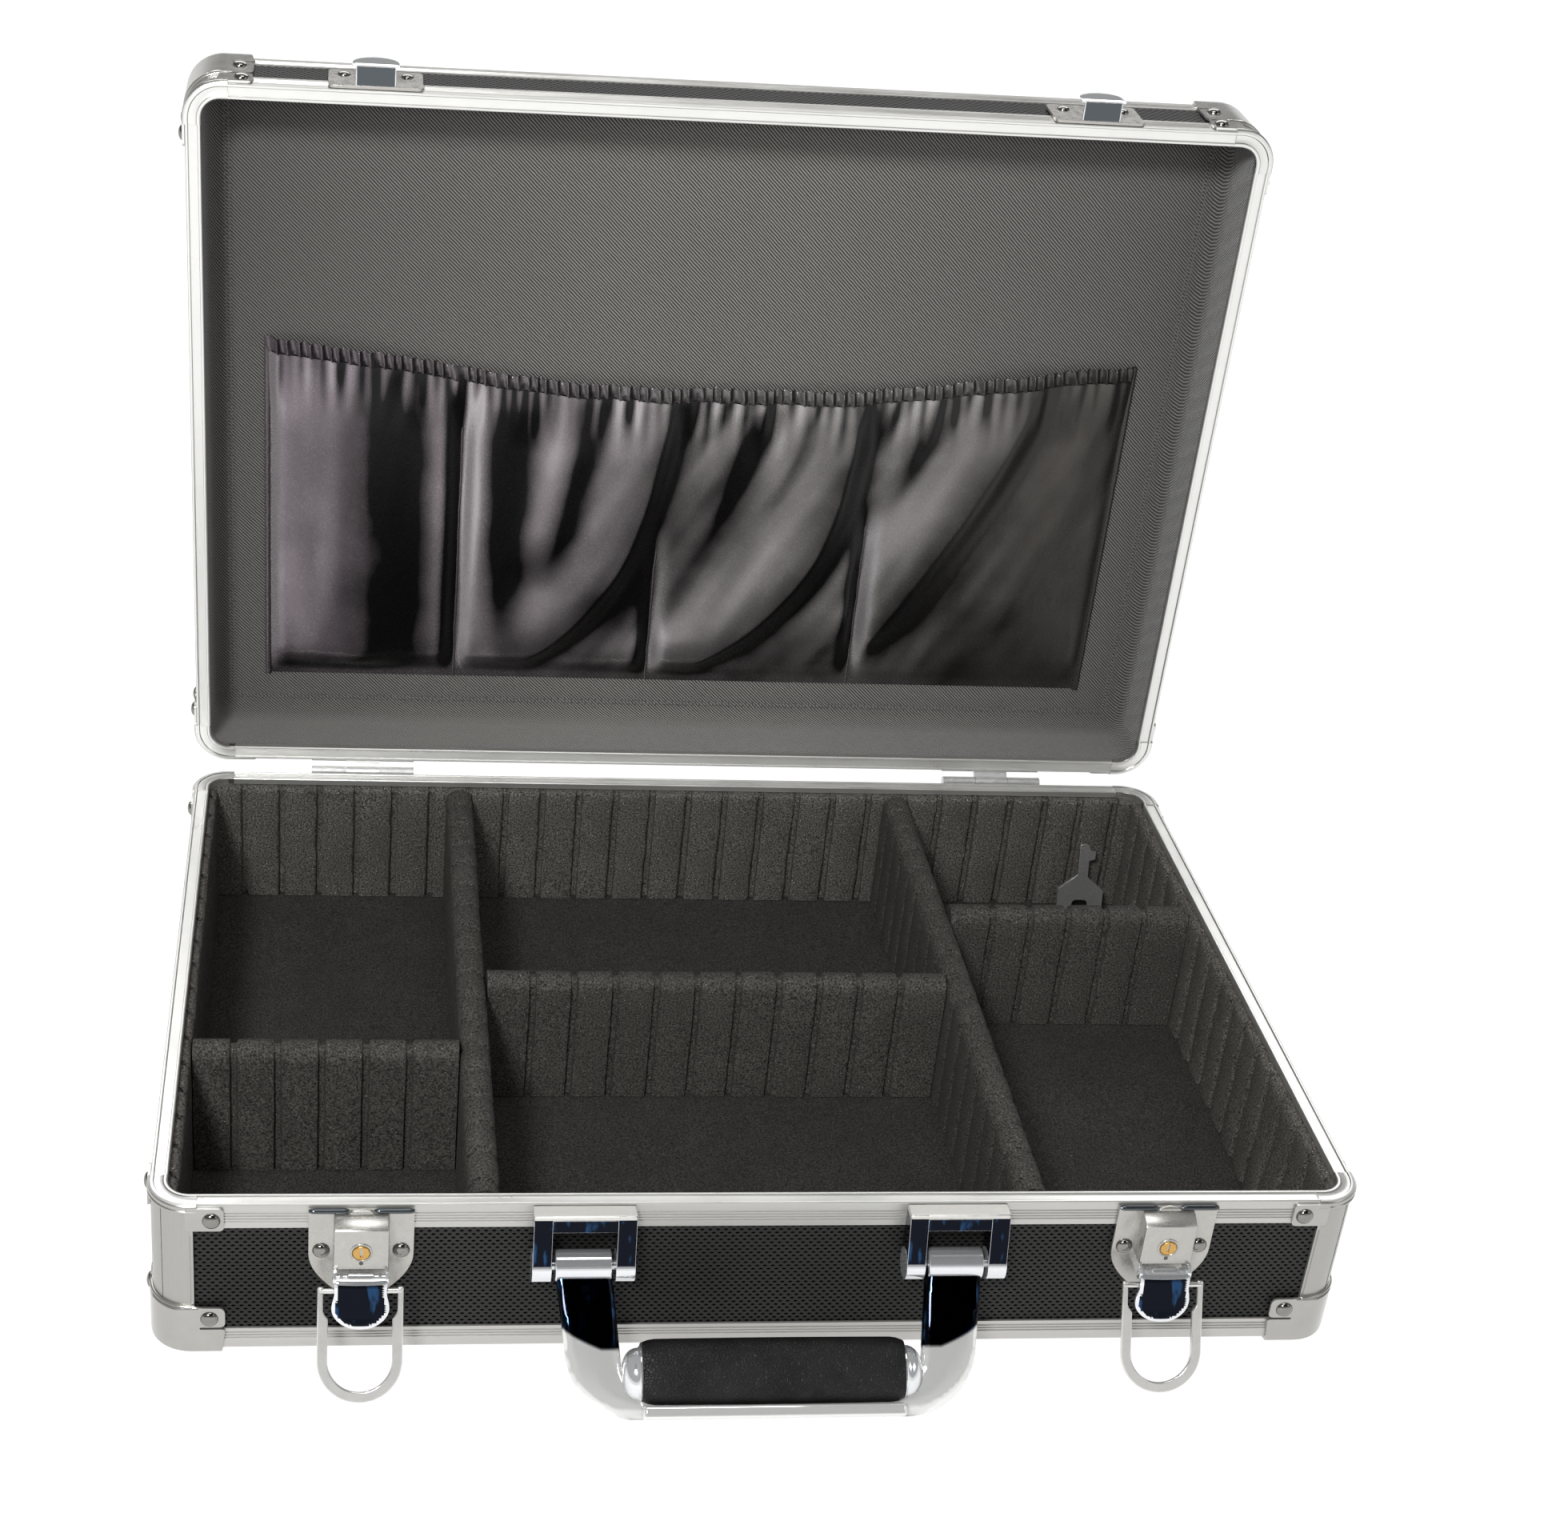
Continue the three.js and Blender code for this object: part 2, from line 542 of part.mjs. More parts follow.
/** The lever: a flared tongue on two cheeks that carry the bail's pin. */
function latchLever() {
  const y = FRONT - LEVER_PIVOT.out;
  const z = LEVER_PIVOT.z;
  const skin = new THREE.Shape();
  skin.moveTo(y - 1, z + 1.4);
  skin.quadraticCurveTo(y - 5, z, y - 5.2, z - 6);
  skin.quadraticCurveTo(y - 5.4, z - 12, y - 7.8, z - 17.6);
  skin.lineTo(y - 6.3, z - 18.2);
  skin.quadraticCurveTo(y - 3.8, z - 12, y - 3.6, z - 6);
  skin.quadraticCurveTo(y - 3.6, z - 0.4, y - 0.6, z - 0.6);
  const face = new THREE.Shape();
  face.moveTo(-8.7, z + 2);
  face.quadraticCurveTo(-8.6, z - 8, -10.7, z - 11);
  face.absellipse(0, z - 11, 10.7, 7.4, Math.PI, 2 * Math.PI);
  face.quadraticCurveTo(8.6, z - 8, 8.7, z + 2);
  const tongue = common(prismX(skin, -12, 12, 5), prismY(face, y - 12, y + 4, 6));
  const cheek = outline([
    [y + 1.2, z + 1.2], [y - 1.2, z + 1.4], [y - 3.9, z - 3], [y - 3.9, z - 7.2],
    [y - 0.4, z - 7.2], [y + 1.6, z - 1],
  ]);
  const cheeks = [-1, 1].map((side) =>
    prismX(cheek, Math.min(side * 6.4, side * 7.8), Math.max(side * 6.4, side * 7.8)));
  const knuckle = rodX(1.9, -4.9, 4.9, y, z);
  const pivotPin = rodX(1.1, -HOUSING_HALF_WIDTH + 0.2, HOUSING_HALF_WIDTH - 0.2, y, z);
  const whole = join(tongue, ...cheeks, knuckle, pivotPin);
  return cut(whole, rodX(1.35, -12, 12, FRONT - BAIL_PIN.out, BAIL_PIN.z));
}

/** The bail, hanging straight down from its pin at the origin: a flat U on a round pin. */
function latchBail() {
  const outer = BAIL_HALF_WIDTH;
  const inner = BAIL_HALF_WIDTH - BAIL_STRIP;
  const centre = BAIL_HALF_WIDTH - BAIL_LENGTH;
  const shape = new THREE.Shape();
  shape.moveTo(-outer, 1.6);
  shape.lineTo(-outer, centre);
  shape.absarc(0, centre, outer, Math.PI, 2 * Math.PI);
  shape.lineTo(outer, 1.6);
  shape.lineTo(outer - 2.1, 1.6);
  shape.lineTo(outer - 2.1, -8);
  shape.lineTo(inner, -11);
  shape.lineTo(inner, centre);
  shape.absarc(0, centre, inner, 0, -Math.PI, true);
  shape.lineTo(-inner, -11);
  shape.lineTo(2.1 - outer, -8);
  shape.lineTo(2.1 - outer, 1.6);
  return join(
    prismY(shape, -BAIL_THICK / 2, BAIL_THICK / 2, 10),
    rodX(1, 0.5 - outer, outer - 0.5, 0, 0),
  );
}

/** The lid's catch: a riveted plate with a web and a round-ended tongue for the bail. */
function lidCatch() {
  const z = PARTING_LID;
  const half = LATCH_HALF_WIDTH + 0.2;
  const plate = prismY(roundedRectangle(-half, half, z + 0.6, z + 23, 2), FRONT - 1.5, FRONT - 0.2);
  const web = box(-7.5, 7.5, FRONT - CATCH_OUT, FRONT - 1, z + 0.8, z + 2);
  const tongue = new THREE.Shape();
  tongue.moveTo(-9.7, z + 6);
  tongue.lineTo(-9.7, z + 0.8);
  tongue.lineTo(9.7, z + 0.8);
  tongue.lineTo(9.7, z + 6);
  tongue.absellipse(0, z + 6, 9.7, 7, 0, Math.PI);
  const heads = [-1, 1].map((side) => rivet(13 * side, FRONT - 1.4, z + 16, 3, 1.6));
  return join(
    plate, web, prismY(tongue, FRONT - CATCH_OUT, FRONT - CATCH_OUT + 1.2, 8), ...heads,
  );
}

function placeLatches() {
  for (const [side, x] of [['left', -HARDWARE_X], ['right', HARDWARE_X]]) {
    place(`latch_body_${side}`, latchBody().translate(x, 0, 0), chrome);
    place(`key_cylinder_${side}`, keyCylinder().translate(x, 0, 0), brass);
    place(`latch_lever_${side}`, latchLever().translate(x, 0, 0), chrome);
    place(`catch_${side}`, lidCatch().translate(x, 0, 0), chrome, lid);
    const bail = place(`latch_bail_${side}`, latchBail(), chrome);
    bail.position.set(x, FRONT - BAIL_PIN.out, BAIL_PIN.z);
    bail.rotation.x = -THREE.MathUtils.degToRad(BAIL_REST_DEG);
  }
}
placeLatches();

// ---- Handle ----

/** A bracket at x = 0: a top bar, two ears and the pin that carries the handle's arm. */
function handleBracket() {
  const w = BRACKET_HALF_WIDTH;
  const y = FRONT - HANDLE_PIVOT.out;
  const z = HANDLE_PIVOT.z;
  const earShape = new THREE.Shape();
  earShape.moveTo(FRONT - 0.2, 68.3);
  earShape.lineTo(FRONT - 7, 68.3);
  earShape.lineTo(FRONT - 8.6, 62);
  earShape.lineTo(y - EAR_RADIUS, z);
  earShape.absarc(y, z, EAR_RADIUS, Math.PI, 1.85 * Math.PI);
  earShape.lineTo(FRONT - 0.2, z);
  const ears = [-1, 1].map((side) => {
    const [a, b] = [side * (ARM_HALF_WIDTH + 1.5), side * w];
    return prismX(earShape, Math.min(a, b), Math.max(a, b), 6);
  });
  const bar = prismX(outline([
    [FRONT - 0.2, 68.3], [FRONT - 0.2, 64], [FRONT - 8.1, 64], [FRONT - 7, 68.3],
  ]), -w, w);
  return join(bar, ...ears, rodX(1.8, 1 - w, w - 1, y, z));
}

/** The handle's chrome frame, hanging straight down from its pivot at the origin. */
function handleFrame() {
  const bottom = -HANDLE_LENGTH;
  const taper = 3.4; // how far each arm leans in on its way down
  const bend = 27;
  const innerBend = 6;
  const armOut = BRACKET_X + ARM_HALF_WIDTH;
  const armIn = BRACKET_X - ARM_HALF_WIDTH;
  const bendX = armOut - taper - bend;
  const innerBendX = armIn - taper - innerBend;
  const innerFloor = bottom + BAR_HEIGHT + innerBend;
  const shape = new THREE.Shape();
  shape.moveTo(-armOut, 0);
  shape.lineTo(-bendX - bend, bottom + bend);
  shape.absarc(-bendX, bottom + bend, bend, Math.PI, 1.5 * Math.PI);
  shape.absarc(bendX, bottom + bend, bend, 1.5 * Math.PI, 2 * Math.PI);
  shape.lineTo(armOut, 0);
  shape.lineTo(armIn, 0);
  shape.lineTo(innerBendX + innerBend, innerFloor);
  shape.absarc(innerBendX, innerFloor, innerBend, 0, -Math.PI / 2, true);
  shape.absarc(-innerBendX, innerFloor, innerBend, -Math.PI / 2, -Math.PI, true);
  shape.lineTo(-armIn, 0);
  const bow = prismY(shape, -3, 3, 6);
  const tray = box(
    -GRIP_HALF_LENGTH, GRIP_HALF_LENGTH, -7.5, 7.5, bottom, -GRIP_FAR - GAP,
  );
  const knuckles = [-1, 1].map((side) => rodX(
    KNUCKLE_OF_ARM, side * BRACKET_X - ARM_HALF_WIDTH, side * BRACKET_X + ARM_HALF_WIDTH, 0, 0, 14,
  ));
  const bore = 2.2;
  return cut(
    join(bow, tray, ...knuckles),
    rodX(bore, -armOut - 1, 1 - armIn, 0, 0),
    rodX(bore, armIn - 1, armOut + 1, 0, 0),
  );
}

/** The grip: a rounded block slotted over the frame's lower bar. */
function handleGrip() {
  const block = prismX(
    roundedRectangle(-8.5, 8.5, -GRIP_FAR, -GRIP_NEAR, 5), -GRIP_HALF_LENGTH, GRIP_HALF_LENGTH,
  );
  const barTop = BAR_HEIGHT + GAP - HANDLE_LENGTH;
  return cut(block, box(-100, 100, -3 - GAP, 3 + GAP, -GRIP_FAR - 1, barTop));
}

function placeHandle() {
  for (const [side, x] of [['left', -BRACKET_X], ['right', BRACKET_X]]) {
    place(`handle_bracket_${side}`, handleBracket().translate(x, 0, 0), chrome);
  }
  const swing = new THREE.Group();
  swing.position.set(0, FRONT - HANDLE_PIVOT.out, HANDLE_PIVOT.z);
  swing.rotation.x = -THREE.MathUtils.degToRad(HANDLE_REST_DEG);
  root.add(swing);
  place('handle_frame', handleFrame(), chrome, swing);
  place('handle_grip', handleGrip(), leather, swing);
}
placeHandle();

// ---- Key ----

/** The key, upright: a wide bow below, a shank and a stepped bit above. */
function key() {
  const half = 11.5;
  const bowTop = 14;
  const shape = new THREE.Shape();
  shape.moveTo(-half, 3);
  shape.quadraticCurveTo(-half, 0, 3 - half, 0);
  shape.lineTo(half - 3, 0);
  shape.quadraticCurveTo(half, 0, half, 3);
  shape.lineTo(half, bowTop);
  shape.lineTo(4, bowTop + 6);
  shape.lineTo(3, bowTop + 7);
  shape.lineTo(3, 29);
  shape.lineTo(6, 30);
  shape.lineTo(6, 34);
  shape.lineTo(3.4, 34);
  shape.lineTo(3.4, 38);
  shape.lineTo(-2.2, 38);
  shape.lineTo(-2.2, bowTop + 8);
  shape.lineTo(-half, bowTop + 1);
  return cut(prismY(shape, -1, 1, 3), prismY(roundedRectangle(-4, 4, 4, 9, 2), -2, 2, 3));
}

const KEY_LEAN_DEG = 14;
const keyMesh = place('key', key(), steel);
keyMesh.position.set(199, 137, FOAM_FLOOR_TOP + 0.8);
keyMesh.rotation.x = -THREE.MathUtils.degToRad(KEY_LEAN_DEG);

export default root;
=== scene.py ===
"""Looks for the aluminium-framed chip case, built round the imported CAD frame.

Shapes are drawn in millimetres. Pieces of the lid are drawn where the closed lid has them, and their
objects carry the turn that opens it, so that a material's object coordinates follow the lid's faces.
"""
import json
import math

import bmesh
import bpy
import numpy as np
from mathutils import Matrix, Vector, geometry, noise


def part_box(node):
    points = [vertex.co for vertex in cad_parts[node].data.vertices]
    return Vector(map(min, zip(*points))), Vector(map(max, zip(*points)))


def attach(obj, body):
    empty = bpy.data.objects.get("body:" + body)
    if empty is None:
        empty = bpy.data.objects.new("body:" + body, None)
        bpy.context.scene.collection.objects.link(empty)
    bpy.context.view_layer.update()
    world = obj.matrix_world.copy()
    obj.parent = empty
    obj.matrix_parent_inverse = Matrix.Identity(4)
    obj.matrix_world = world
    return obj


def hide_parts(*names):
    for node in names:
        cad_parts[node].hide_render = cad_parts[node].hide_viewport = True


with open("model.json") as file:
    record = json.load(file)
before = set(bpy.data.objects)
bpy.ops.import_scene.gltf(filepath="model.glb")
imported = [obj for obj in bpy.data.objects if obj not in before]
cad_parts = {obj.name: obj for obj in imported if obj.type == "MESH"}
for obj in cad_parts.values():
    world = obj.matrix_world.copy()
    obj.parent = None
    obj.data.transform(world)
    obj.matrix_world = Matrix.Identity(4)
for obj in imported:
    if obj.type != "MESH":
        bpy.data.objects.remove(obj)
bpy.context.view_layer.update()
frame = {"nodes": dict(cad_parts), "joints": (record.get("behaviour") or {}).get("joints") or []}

# ---- Dimensions, in millimetres. What the frame says is read from it ----
MM = 0.001


def box_mm(node):
    """A node's box at rest."""
    low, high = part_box(node)
    return np.array(low) / MM, np.array(high) / MM


JOINTS = {j["name"]: j for j in frame["joints"]}
HINGE = Vector(JOINTS["lid_hinge"]["pos_m"])
OPEN = math.radians(-JOINTS["lid_hinge"]["range_deg"][0])
LID = Matrix.Translation(HINGE) @ Matrix.Rotation(-OPEN, 4, "X") @ Matrix.Translation(-HINGE)
PLAIN = Matrix.Identity(4)


def joint_mm(name):
    """Where a joint's axis lies."""
    return [c / MM for c in JOINTS[name]["pos_m"]]


def closed_box_mm(node):
    """A lid node's box with the lid closed."""
    back = LID.inverted()
    points = np.array([back @ v.co for v in frame["nodes"][node].data.vertices]) / MM
    return points.min(0), points.max(0)


RIM_LOW, RIM_HIGH = box_mm("base_rim")
W, D, TOP = RIM_HIGH
LID_EDGE_LOW, LID_EDGE_HIGH = closed_box_mm("lid_top_edge")
CASE_TOP = LID_EDGE_HIGH[2]
BAND = TOP - RIM_LOW[2]
PARTING = closed_box_mm("lid_rim")[1][2] - BAND
LID_HEIGHT = CASE_TOP - PARTING
EDGE_HEIGHT = LID_EDGE_HIGH[2] - LID_EDGE_LOW[2]
CORNER = 15
HALF_ARC = math.pi / 4 * CORNER
HARDWARE_X, LEVER_Y, LEVER_Z = joint_mm("latch_lever_right")
_, BAIL_Y, BAIL_Z = joint_mm("latch_bail_right")
_, _, PLUG_Z = joint_mm("lock_turn_right")
_, HANDLE_Y, HANDLE_Z = joint_mm("handle_swing")
HANDLE_REST = math.radians(44)
BAIL_REST = math.radians(26.5)
PLATE_FRONT = -D - 1.5
BRACKET_X, BRACKET_HALF, ARM_HALF = 70.5, 19.1, 10.5
HANDLE_LENGTH, BAR_HEIGHT, GRIP_NEAR, GRIP_FAR, GRIP_HALF = 56.5, 14.0, 27.0, 51.4, 49.2
KEY_AT, KEY_LEAN = (199, 137), math.radians(14)
# The board's dimples: their rows, their places in a row, and half their width and height
ROW_PITCH, DIMPLE_PITCH, DIMPLE_HALF = 1.6, 3.0, (0.92, 0.56)
# The foam's cross cuts
GROOVE_START, GROOVE_PITCH, GROOVE_HALF, GROOVE_DEPTH = -2.4, 17.5, 1.55, 3.2
SIDES = {"left": -1, "right": 1}
CORNERS = {"front_left": (1, 1), "front_right": (-1, 1), "back_left": (1, -1), "back_right": (-1, -1)}
# Half the length of each side of the plan, its distance from the middle, and its turn in degrees
PLAN_SIDES = ((W, D, 0), (D, W, 90), (W, D, 180), (D, W, 270))


# ---- Mesh building ----
class Shape:
    """Closed shells collected into one mesh, in millimetres."""

    def __init__(self):
        self.verts, self.faces = [], []

    def add(self, verts, faces):
        start = len(self.verts)
        self.verts += [tuple(map(float, v)) for v in verts]
        self.faces += [tuple(start + i for i in f) for f in faces]
        return self

    def loft(self, rings, closed=False):
        """Rings of equally many points, joined into a skin with capped ends, or closed into a loop."""
        n, m = len(rings), len(rings[0])
        faces = []
        for i in range(n if closed else n - 1):
            a, b = i * m, ((i + 1) % n) * m
            faces += [(a + j, a + (j + 1) % m, b + (j + 1) % m, b + j) for j in range(m)]
        if not closed:
            faces += [tuple(range(m))[::-1], tuple((n - 1) * m + j for j in range(m))]
        return self.add([p for ring in rings for p in ring], faces)

    def lathe(self, profile, matrix=PLAIN, steps=24):
        """A profile of (radius, height) points turned about local Z. It starts and ends on the axis."""
        inner = profile[1:-1]
        rings = [[matrix @ Vector((r * math.cos(a), r * math.sin(a), h))
                  for a in turns(steps)] for r, h in inner]
        first = matrix @ Vector((0, 0, profile[0][1]))
        last = matrix @ Vector((0, 0, profile[-1][1]))
        m, count = steps, len(inner) * steps
        verts = [p for ring in rings for p in ring] + [first, last]
        faces = [(i * m + j, i * m + (j + 1) % m, (i + 1) * m + (j + 1) % m, (i + 1) * m + j)
                 for i in range(len(inner) - 1) for j in range(m)]
        faces += [(count, (j + 1) % m, j) for j in range(m)]
        faces += [(count + 1, count - m + j, count - m + (j + 1) % m) for j in range(m)]
        return self.add(verts, faces)

    def sheet(self, outlines, place, thickness, step=None):
        """A flat sheet of (s, t) outlines, the first one outside and the others holes. place(s, t, off)
        puts it in space, and its thickness runs from off = 0 to off = thickness."""
        points, edges = [], []
        for line in outlines:
            start = len(points)
            points += [Vector(p) for p in line]
            edges += [(start + i, start + (i + 1) % len(line)) for i in range(len(line))]
        if step:
            low, high = np.min(outlines[0], 0), np.max(outlines[0], 0)
            for s in np.arange(low[0] + step / 2, high[0], step):
                for t in np.arange(low[1] + step / 2, high[1], step):
                    if inside(s, t, outlines) and clearance(s, t, outlines) > step * 0.35:
                        points.append(Vector((s, t)))
        flat, _, found = geometry.delaunay_2d_cdt(points, edges, [], 0, 1e-6)[:3]
        triangles = []
        for f in found:
            c = sum((flat[i] for i in f), Vector((0, 0))) / len(f)
            if inside(c.x, c.y, outlines):
                triangles.append(tuple(f))
        count = len(flat)
        verts = [place(p.x, p.y, 0.0) for p in flat] + [place(p.x, p.y, thickness) for p in flat]
        borders = {}
        for f in triangles:
            for a, b in zip(f, f[1:] + f[:1]):
                key = (min(a, b), max(a, b))
                borders[key] = None if key in borders else (a, b)
        faces = [f[::-1] for f in triangles] + [tuple(i + count for i in f) for f in triangles]
        faces += [(a, b, b + count, a + count) for a, b in filter(None, borders.values())]
        return self.add(verts, faces)

    def block(self, low, high):
        """A box between two corners."""
        (x0, y0, z0), (x1, y1, z1) = low, high
        ring = [(x0, y0), (x1, y0), (x1, y1), (x0, y1)]
        return self.loft([[(x, y, z) for x, y in ring] for z in (z0, z1)])

    def moved(self, matrix):
        """A copy of the shape, carried by a matrix in millimetres."""
        copy = Shape()
        copy.verts = [tuple(matrix @ Vector(v)) for v in self.verts]
        copy.faces = list(self.faces)
        return copy


def turns(steps):
    """Angles all the way round a circle."""
    return np.arange(steps) * math.tau / steps


def inside(s, t, outlines):
    """True where (s, t) lies in the first outline and in none of the others."""
    found = False
    for line in outlines:
        for (a, b), (c, d) in zip(line, [*line[1:], line[0]]):
            if (b > t) != (d > t) and s < (c - a) * (t - b) / (d - b) + a:
                found = not found
    return found


def clearance(s, t, outlines):
    """Distance from (s, t) to the nearest outline."""
    best = 1e9
    for line in outlines:
        a = np.array(line, float)
        b = np.roll(a, -1, axis=0)
        d = b - a
        u = np.clip((((s, t) - a) * d).sum(1) / np.maximum((d * d).sum(1), 1e-12), 0, 1)
        best = min(best, np.hypot(*(a + d * u[:, None] - (s, t)).T).min())
    return best


def arc(cx, cy, r, start, end, steps=8, ry=None):
    """Points on an arc or ellipse, angles in degrees."""
    ry = r if ry is None else ry
    return [(cx + r * math.cos(a), cy + ry * math.sin(a))
            for a in np.radians(np.linspace(start, end, steps + 1))]


def wavy(amount, *at):
    """Smooth noise of a given size at a place."""
    return amount * noise.noise(Vector((*at, 0.0)[:3]))


def rounded(x0, x1, y0, y1, r, steps=6):
    """A rectangle with rounded corners."""
    return (arc(x1 - r, y0 + r, r, -90, 0, steps) + arc(x1 - r, y1 - r, r, 0, 90, steps)
            + arc(x0 + r, y1 - r, r, 90, 180, steps) + arc(x0 + r, y0 + r, r, 180, 270, steps))


def mirror(sx, sy):
    """Carries the front left corner to another one."""
    return Matrix.Diagonal((sx, sy, 1, 1))


def placed(name, data):
    """A new object in the scene."""
    made = bpy.data.objects.new(name, data)
    bpy.context.scene.collection.objects.link(made)
    return made


def piece(name, shape, material, body, stands_for=(), slot=None, local=PLAIN, angle=38, bevel=0.0,
          segments=2, rim=None):
    """Makes the object, gives it its material and sets it on its body."""
    mesh = bpy.data.meshes.new(name)
    mesh.from_pydata([(x * MM, y * MM, z * MM) for x, y, z in shape.verts], [], shape.faces)
    work = bmesh.new()
    work.from_mesh(mesh)
    bmesh.ops.remove_doubles(work, verts=work.verts, dist=1e-7)
    bmesh.ops.dissolve_degenerate(work, edges=work.edges, dist=1e-8)
    bmesh.ops.recalc_face_normals(work, faces=work.faces)
    work.to_mesh(mesh)
    work.free()
    mesh.shade_smooth()
    mesh.set_sharp_from_angle(angle=math.radians(angle))
    mesh.materials.append(material)
    made = placed(name, mesh)
    made.matrix_world = local
    if bevel:
        edge = made.modifiers.new("edges", "BEVEL")
        edge.width = bevel * MM
        edge.segments = segments
        edge.limit_method = "ANGLE"
        edge.angle_limit = math.radians(40)
        edge.use_clamp_overlap = True
        if rim:
            mesh.materials.append(rim)
            edge.material = 1
    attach(made, body)
    if stands_for:
        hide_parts(*stands_for)
    return made


# ---- Frame paths ----
def corner_point(s, inset, z):
    """A point near the front left corner. s runs along the outer face from the corner's middle, to
    the front for s > 0 and to the left side for s < 0."""
    r = CORNER - inset
    if s > HALF_ARC:
        return Vector((CORNER - W + s - HALF_ARC, inset - D, z))
    if s < -HALF_ARC:
        return Vector((inset - W, CORNER - D - s - HALF_ARC, z))
    a = math.radians(225) + s / CORNER
    return Vector((CORNER - W + r * math.cos(a), CORNER - D + r * math.sin(a), z))


def ring_frame(profile, steps):
    """A closed (inset, z) profile carried all round the case's plan."""
    stations = np.linspace(-HALF_ARC, HALF_ARC, steps + 1)
    rings = []
    for sx, sy, turn in ((1, 1, 1), (-1, 1, -1), (-1, -1, 1), (1, -1, -1)):
        for s in stations[::turn]:
            rings.append([mirror(sx, sy) @ corner_point(s, i, z) for i, z in profile])
    return Shape().loft(rings, closed=True)


def straight_runs(profile):
    """The profile as four straight lengths between the corners."""
    shape = Shape()
    for half, other, turn in PLAN_SIDES:
        spin = Matrix.Rotation(math.radians(turn), 4, "Z")
        shape.loft([[spin @ Vector((x, i - other, z)) for i, z in profile]
                    for x in (CORNER - half, half - CORNER)])
    return shape


def at_height(profile, height):
    """The profile with its distances from an edge of the case turned into heights."""
    return [(i, height(away)) for i, away in profile]


# How each half turns a distance from its rim or its outer edge into a height
HALVES = {
    "base": {"rim": lambda away: TOP - away, "edge": lambda away: away, "local": PLAIN,
             "edge_node": "base_bottom_edge", "cap_top": 20.7},
    "lid": {"rim": lambda away: PARTING + away, "edge": lambda away: CASE_TOP - away, "local": LID,
            "edge_node": "lid_top_edge", "cap_top": LID_HEIGHT - BAND - 2},
}


# ---- Materials ----
def triple(value):
    """The three numbers given, or one number three times: a colour or a scale."""
    return tuple(value) if hasattr(value, "__len__") else (value,) * 3


class Nodes:
    """A node tree with short ways to add nodes. Each way returns the new node's output."""

    def __init__(self, tree):
        self.tree = tree

    def node(self, kind, inputs=(), **settings):
        made = self.tree.nodes.new("ShaderNode" + kind)
        for key, value in settings.items():
            setattr(made, key, value)
        for key, value in dict(inputs).items():
            if isinstance(value, bpy.types.NodeSocket):
                self.tree.links.new(value, made.inputs[key])
            elif value is not None:
                made.inputs[key].default_value = value
        return made

    def span(self, value, low, high, out_low=0.0, out_high=1.0):
        """Maps low..high to out_low..out_high, and no further."""
        inputs = {"Value": value, "From Min": low, "From Max": high, "To Min": out_low, "To Max": out_high}
        return self.node("MapRange", inputs, clamp=True).outputs[0]

    def math(self, operation, a, b=None, c=None):
        return self.node("Math", {0: a, 1: b, 2: c}, operation=operation).outputs[0]

    def axes(self, vector):
        return self.node("SeparateXYZ", {0: vector}).outputs

    def mix(self, fac, a, b):
        """Colour a where fac is 0, and colour b where it is 1."""
        colours = [c if isinstance(c, bpy.types.NodeSocket) else (*triple(c), 1) for c in (a, b)]
        return self.node("Mix", {0: fac, 6: colours[0], 7: colours[1]}, data_type="RGBA").outputs[2]


class Finish(Nodes):
    """A principled material."""

    def __init__(self, name, colour, roughness, metallic=0.0, **sockets):
        self.material = bpy.data.materials.new(name)
        self.material.use_nodes = True
        super().__init__(self.material.node_tree)
        self.shader = self.tree.nodes["Principled BSDF"]
        sockets.update(Base_Color=(*triple(colour), 1), Roughness=roughness, Metallic=metallic)
        for socket, value in sockets.items():
            self.shader.inputs[socket.replace("_", " ")].default_value = value
        self.coords = self.node("TexCoord").outputs["Object"]

    def stretched(self, scale, turn=(0, 0, 0)):
        """Object coordinates in millimetres times a scale for each axis."""
        scaled = [s / MM for s in triple(scale)]
        return self.node("Mapping", {"Vector": self.coords, "Scale": scaled, "Rotation": turn}).outputs[0]

    def noise(self, scale, detail=3, rough=0.55, turn=(0, 0, 0)):
        inputs = {"Vector": self.stretched(scale, turn), "Scale": 1, "Detail": detail, "Roughness": rough}
        return self.node("TexNoise", inputs).outputs["Fac"]

    def spots(self, scale, feature="F1"):
        inputs = {"Vector": self.stretched(scale), "Scale": 1}
        return self.node("TexVoronoi", inputs, feature=feature).outputs["Distance"]

    def set(self, socket, value):
        self.tree.links.new(value, self.shader.inputs[socket])
        return self

    def bump(self, height, depth, strength=1.0):
        """Adds relief. The height runs from 0 to 1 for a depth in millimetres."""
        made = self.node("Bump", {"Height": height, "Distance": depth * MM, "Strength": strength})
        link = self.shader.inputs["Normal"].links
        if link:
            self.tree.links.new(link[0].from_socket, made.inputs["Normal"])
        return self.set("Normal", made.outputs[0])


def metal(name, colour, roughness, grain, grain_depth=0.01, spread=0.08, marks=0.35, tint=0.86,
          metallic=0.8):
    """Metal with a fine grain, patchy gloss and a few scuffs. grain is the noise scale for each axis,
    and tint how dark the darkest patches are."""
    m = Finish(name, colour, roughness, metallic)
    lines = m.noise(grain, 4, 0.7)
    patches = m.noise(0.03, 4)
    scuffs = m.noise(0.25, 8, 0.72)
    gloss = m.math("ADD", m.span(lines, 0.3, 0.7, -spread, spread),
                   m.span(patches, 0.3, 0.7, roughness, roughness + spread))
    gloss = m.math("ADD", gloss, m.span(scuffs, 0.62, 0.75, 0, marks))
    m.set("Roughness", gloss)
    dark = tuple(c * tint for c in triple(colour))
    shade = m.math("MULTIPLY", m.span(lines, 0.25, 0.75), m.span(patches, 0.2, 0.7, 0.6, 1))
    m.set("Base Color", m.mix(shade, dark, colour))
    m.bump(lines, grain_depth)
    return m.material


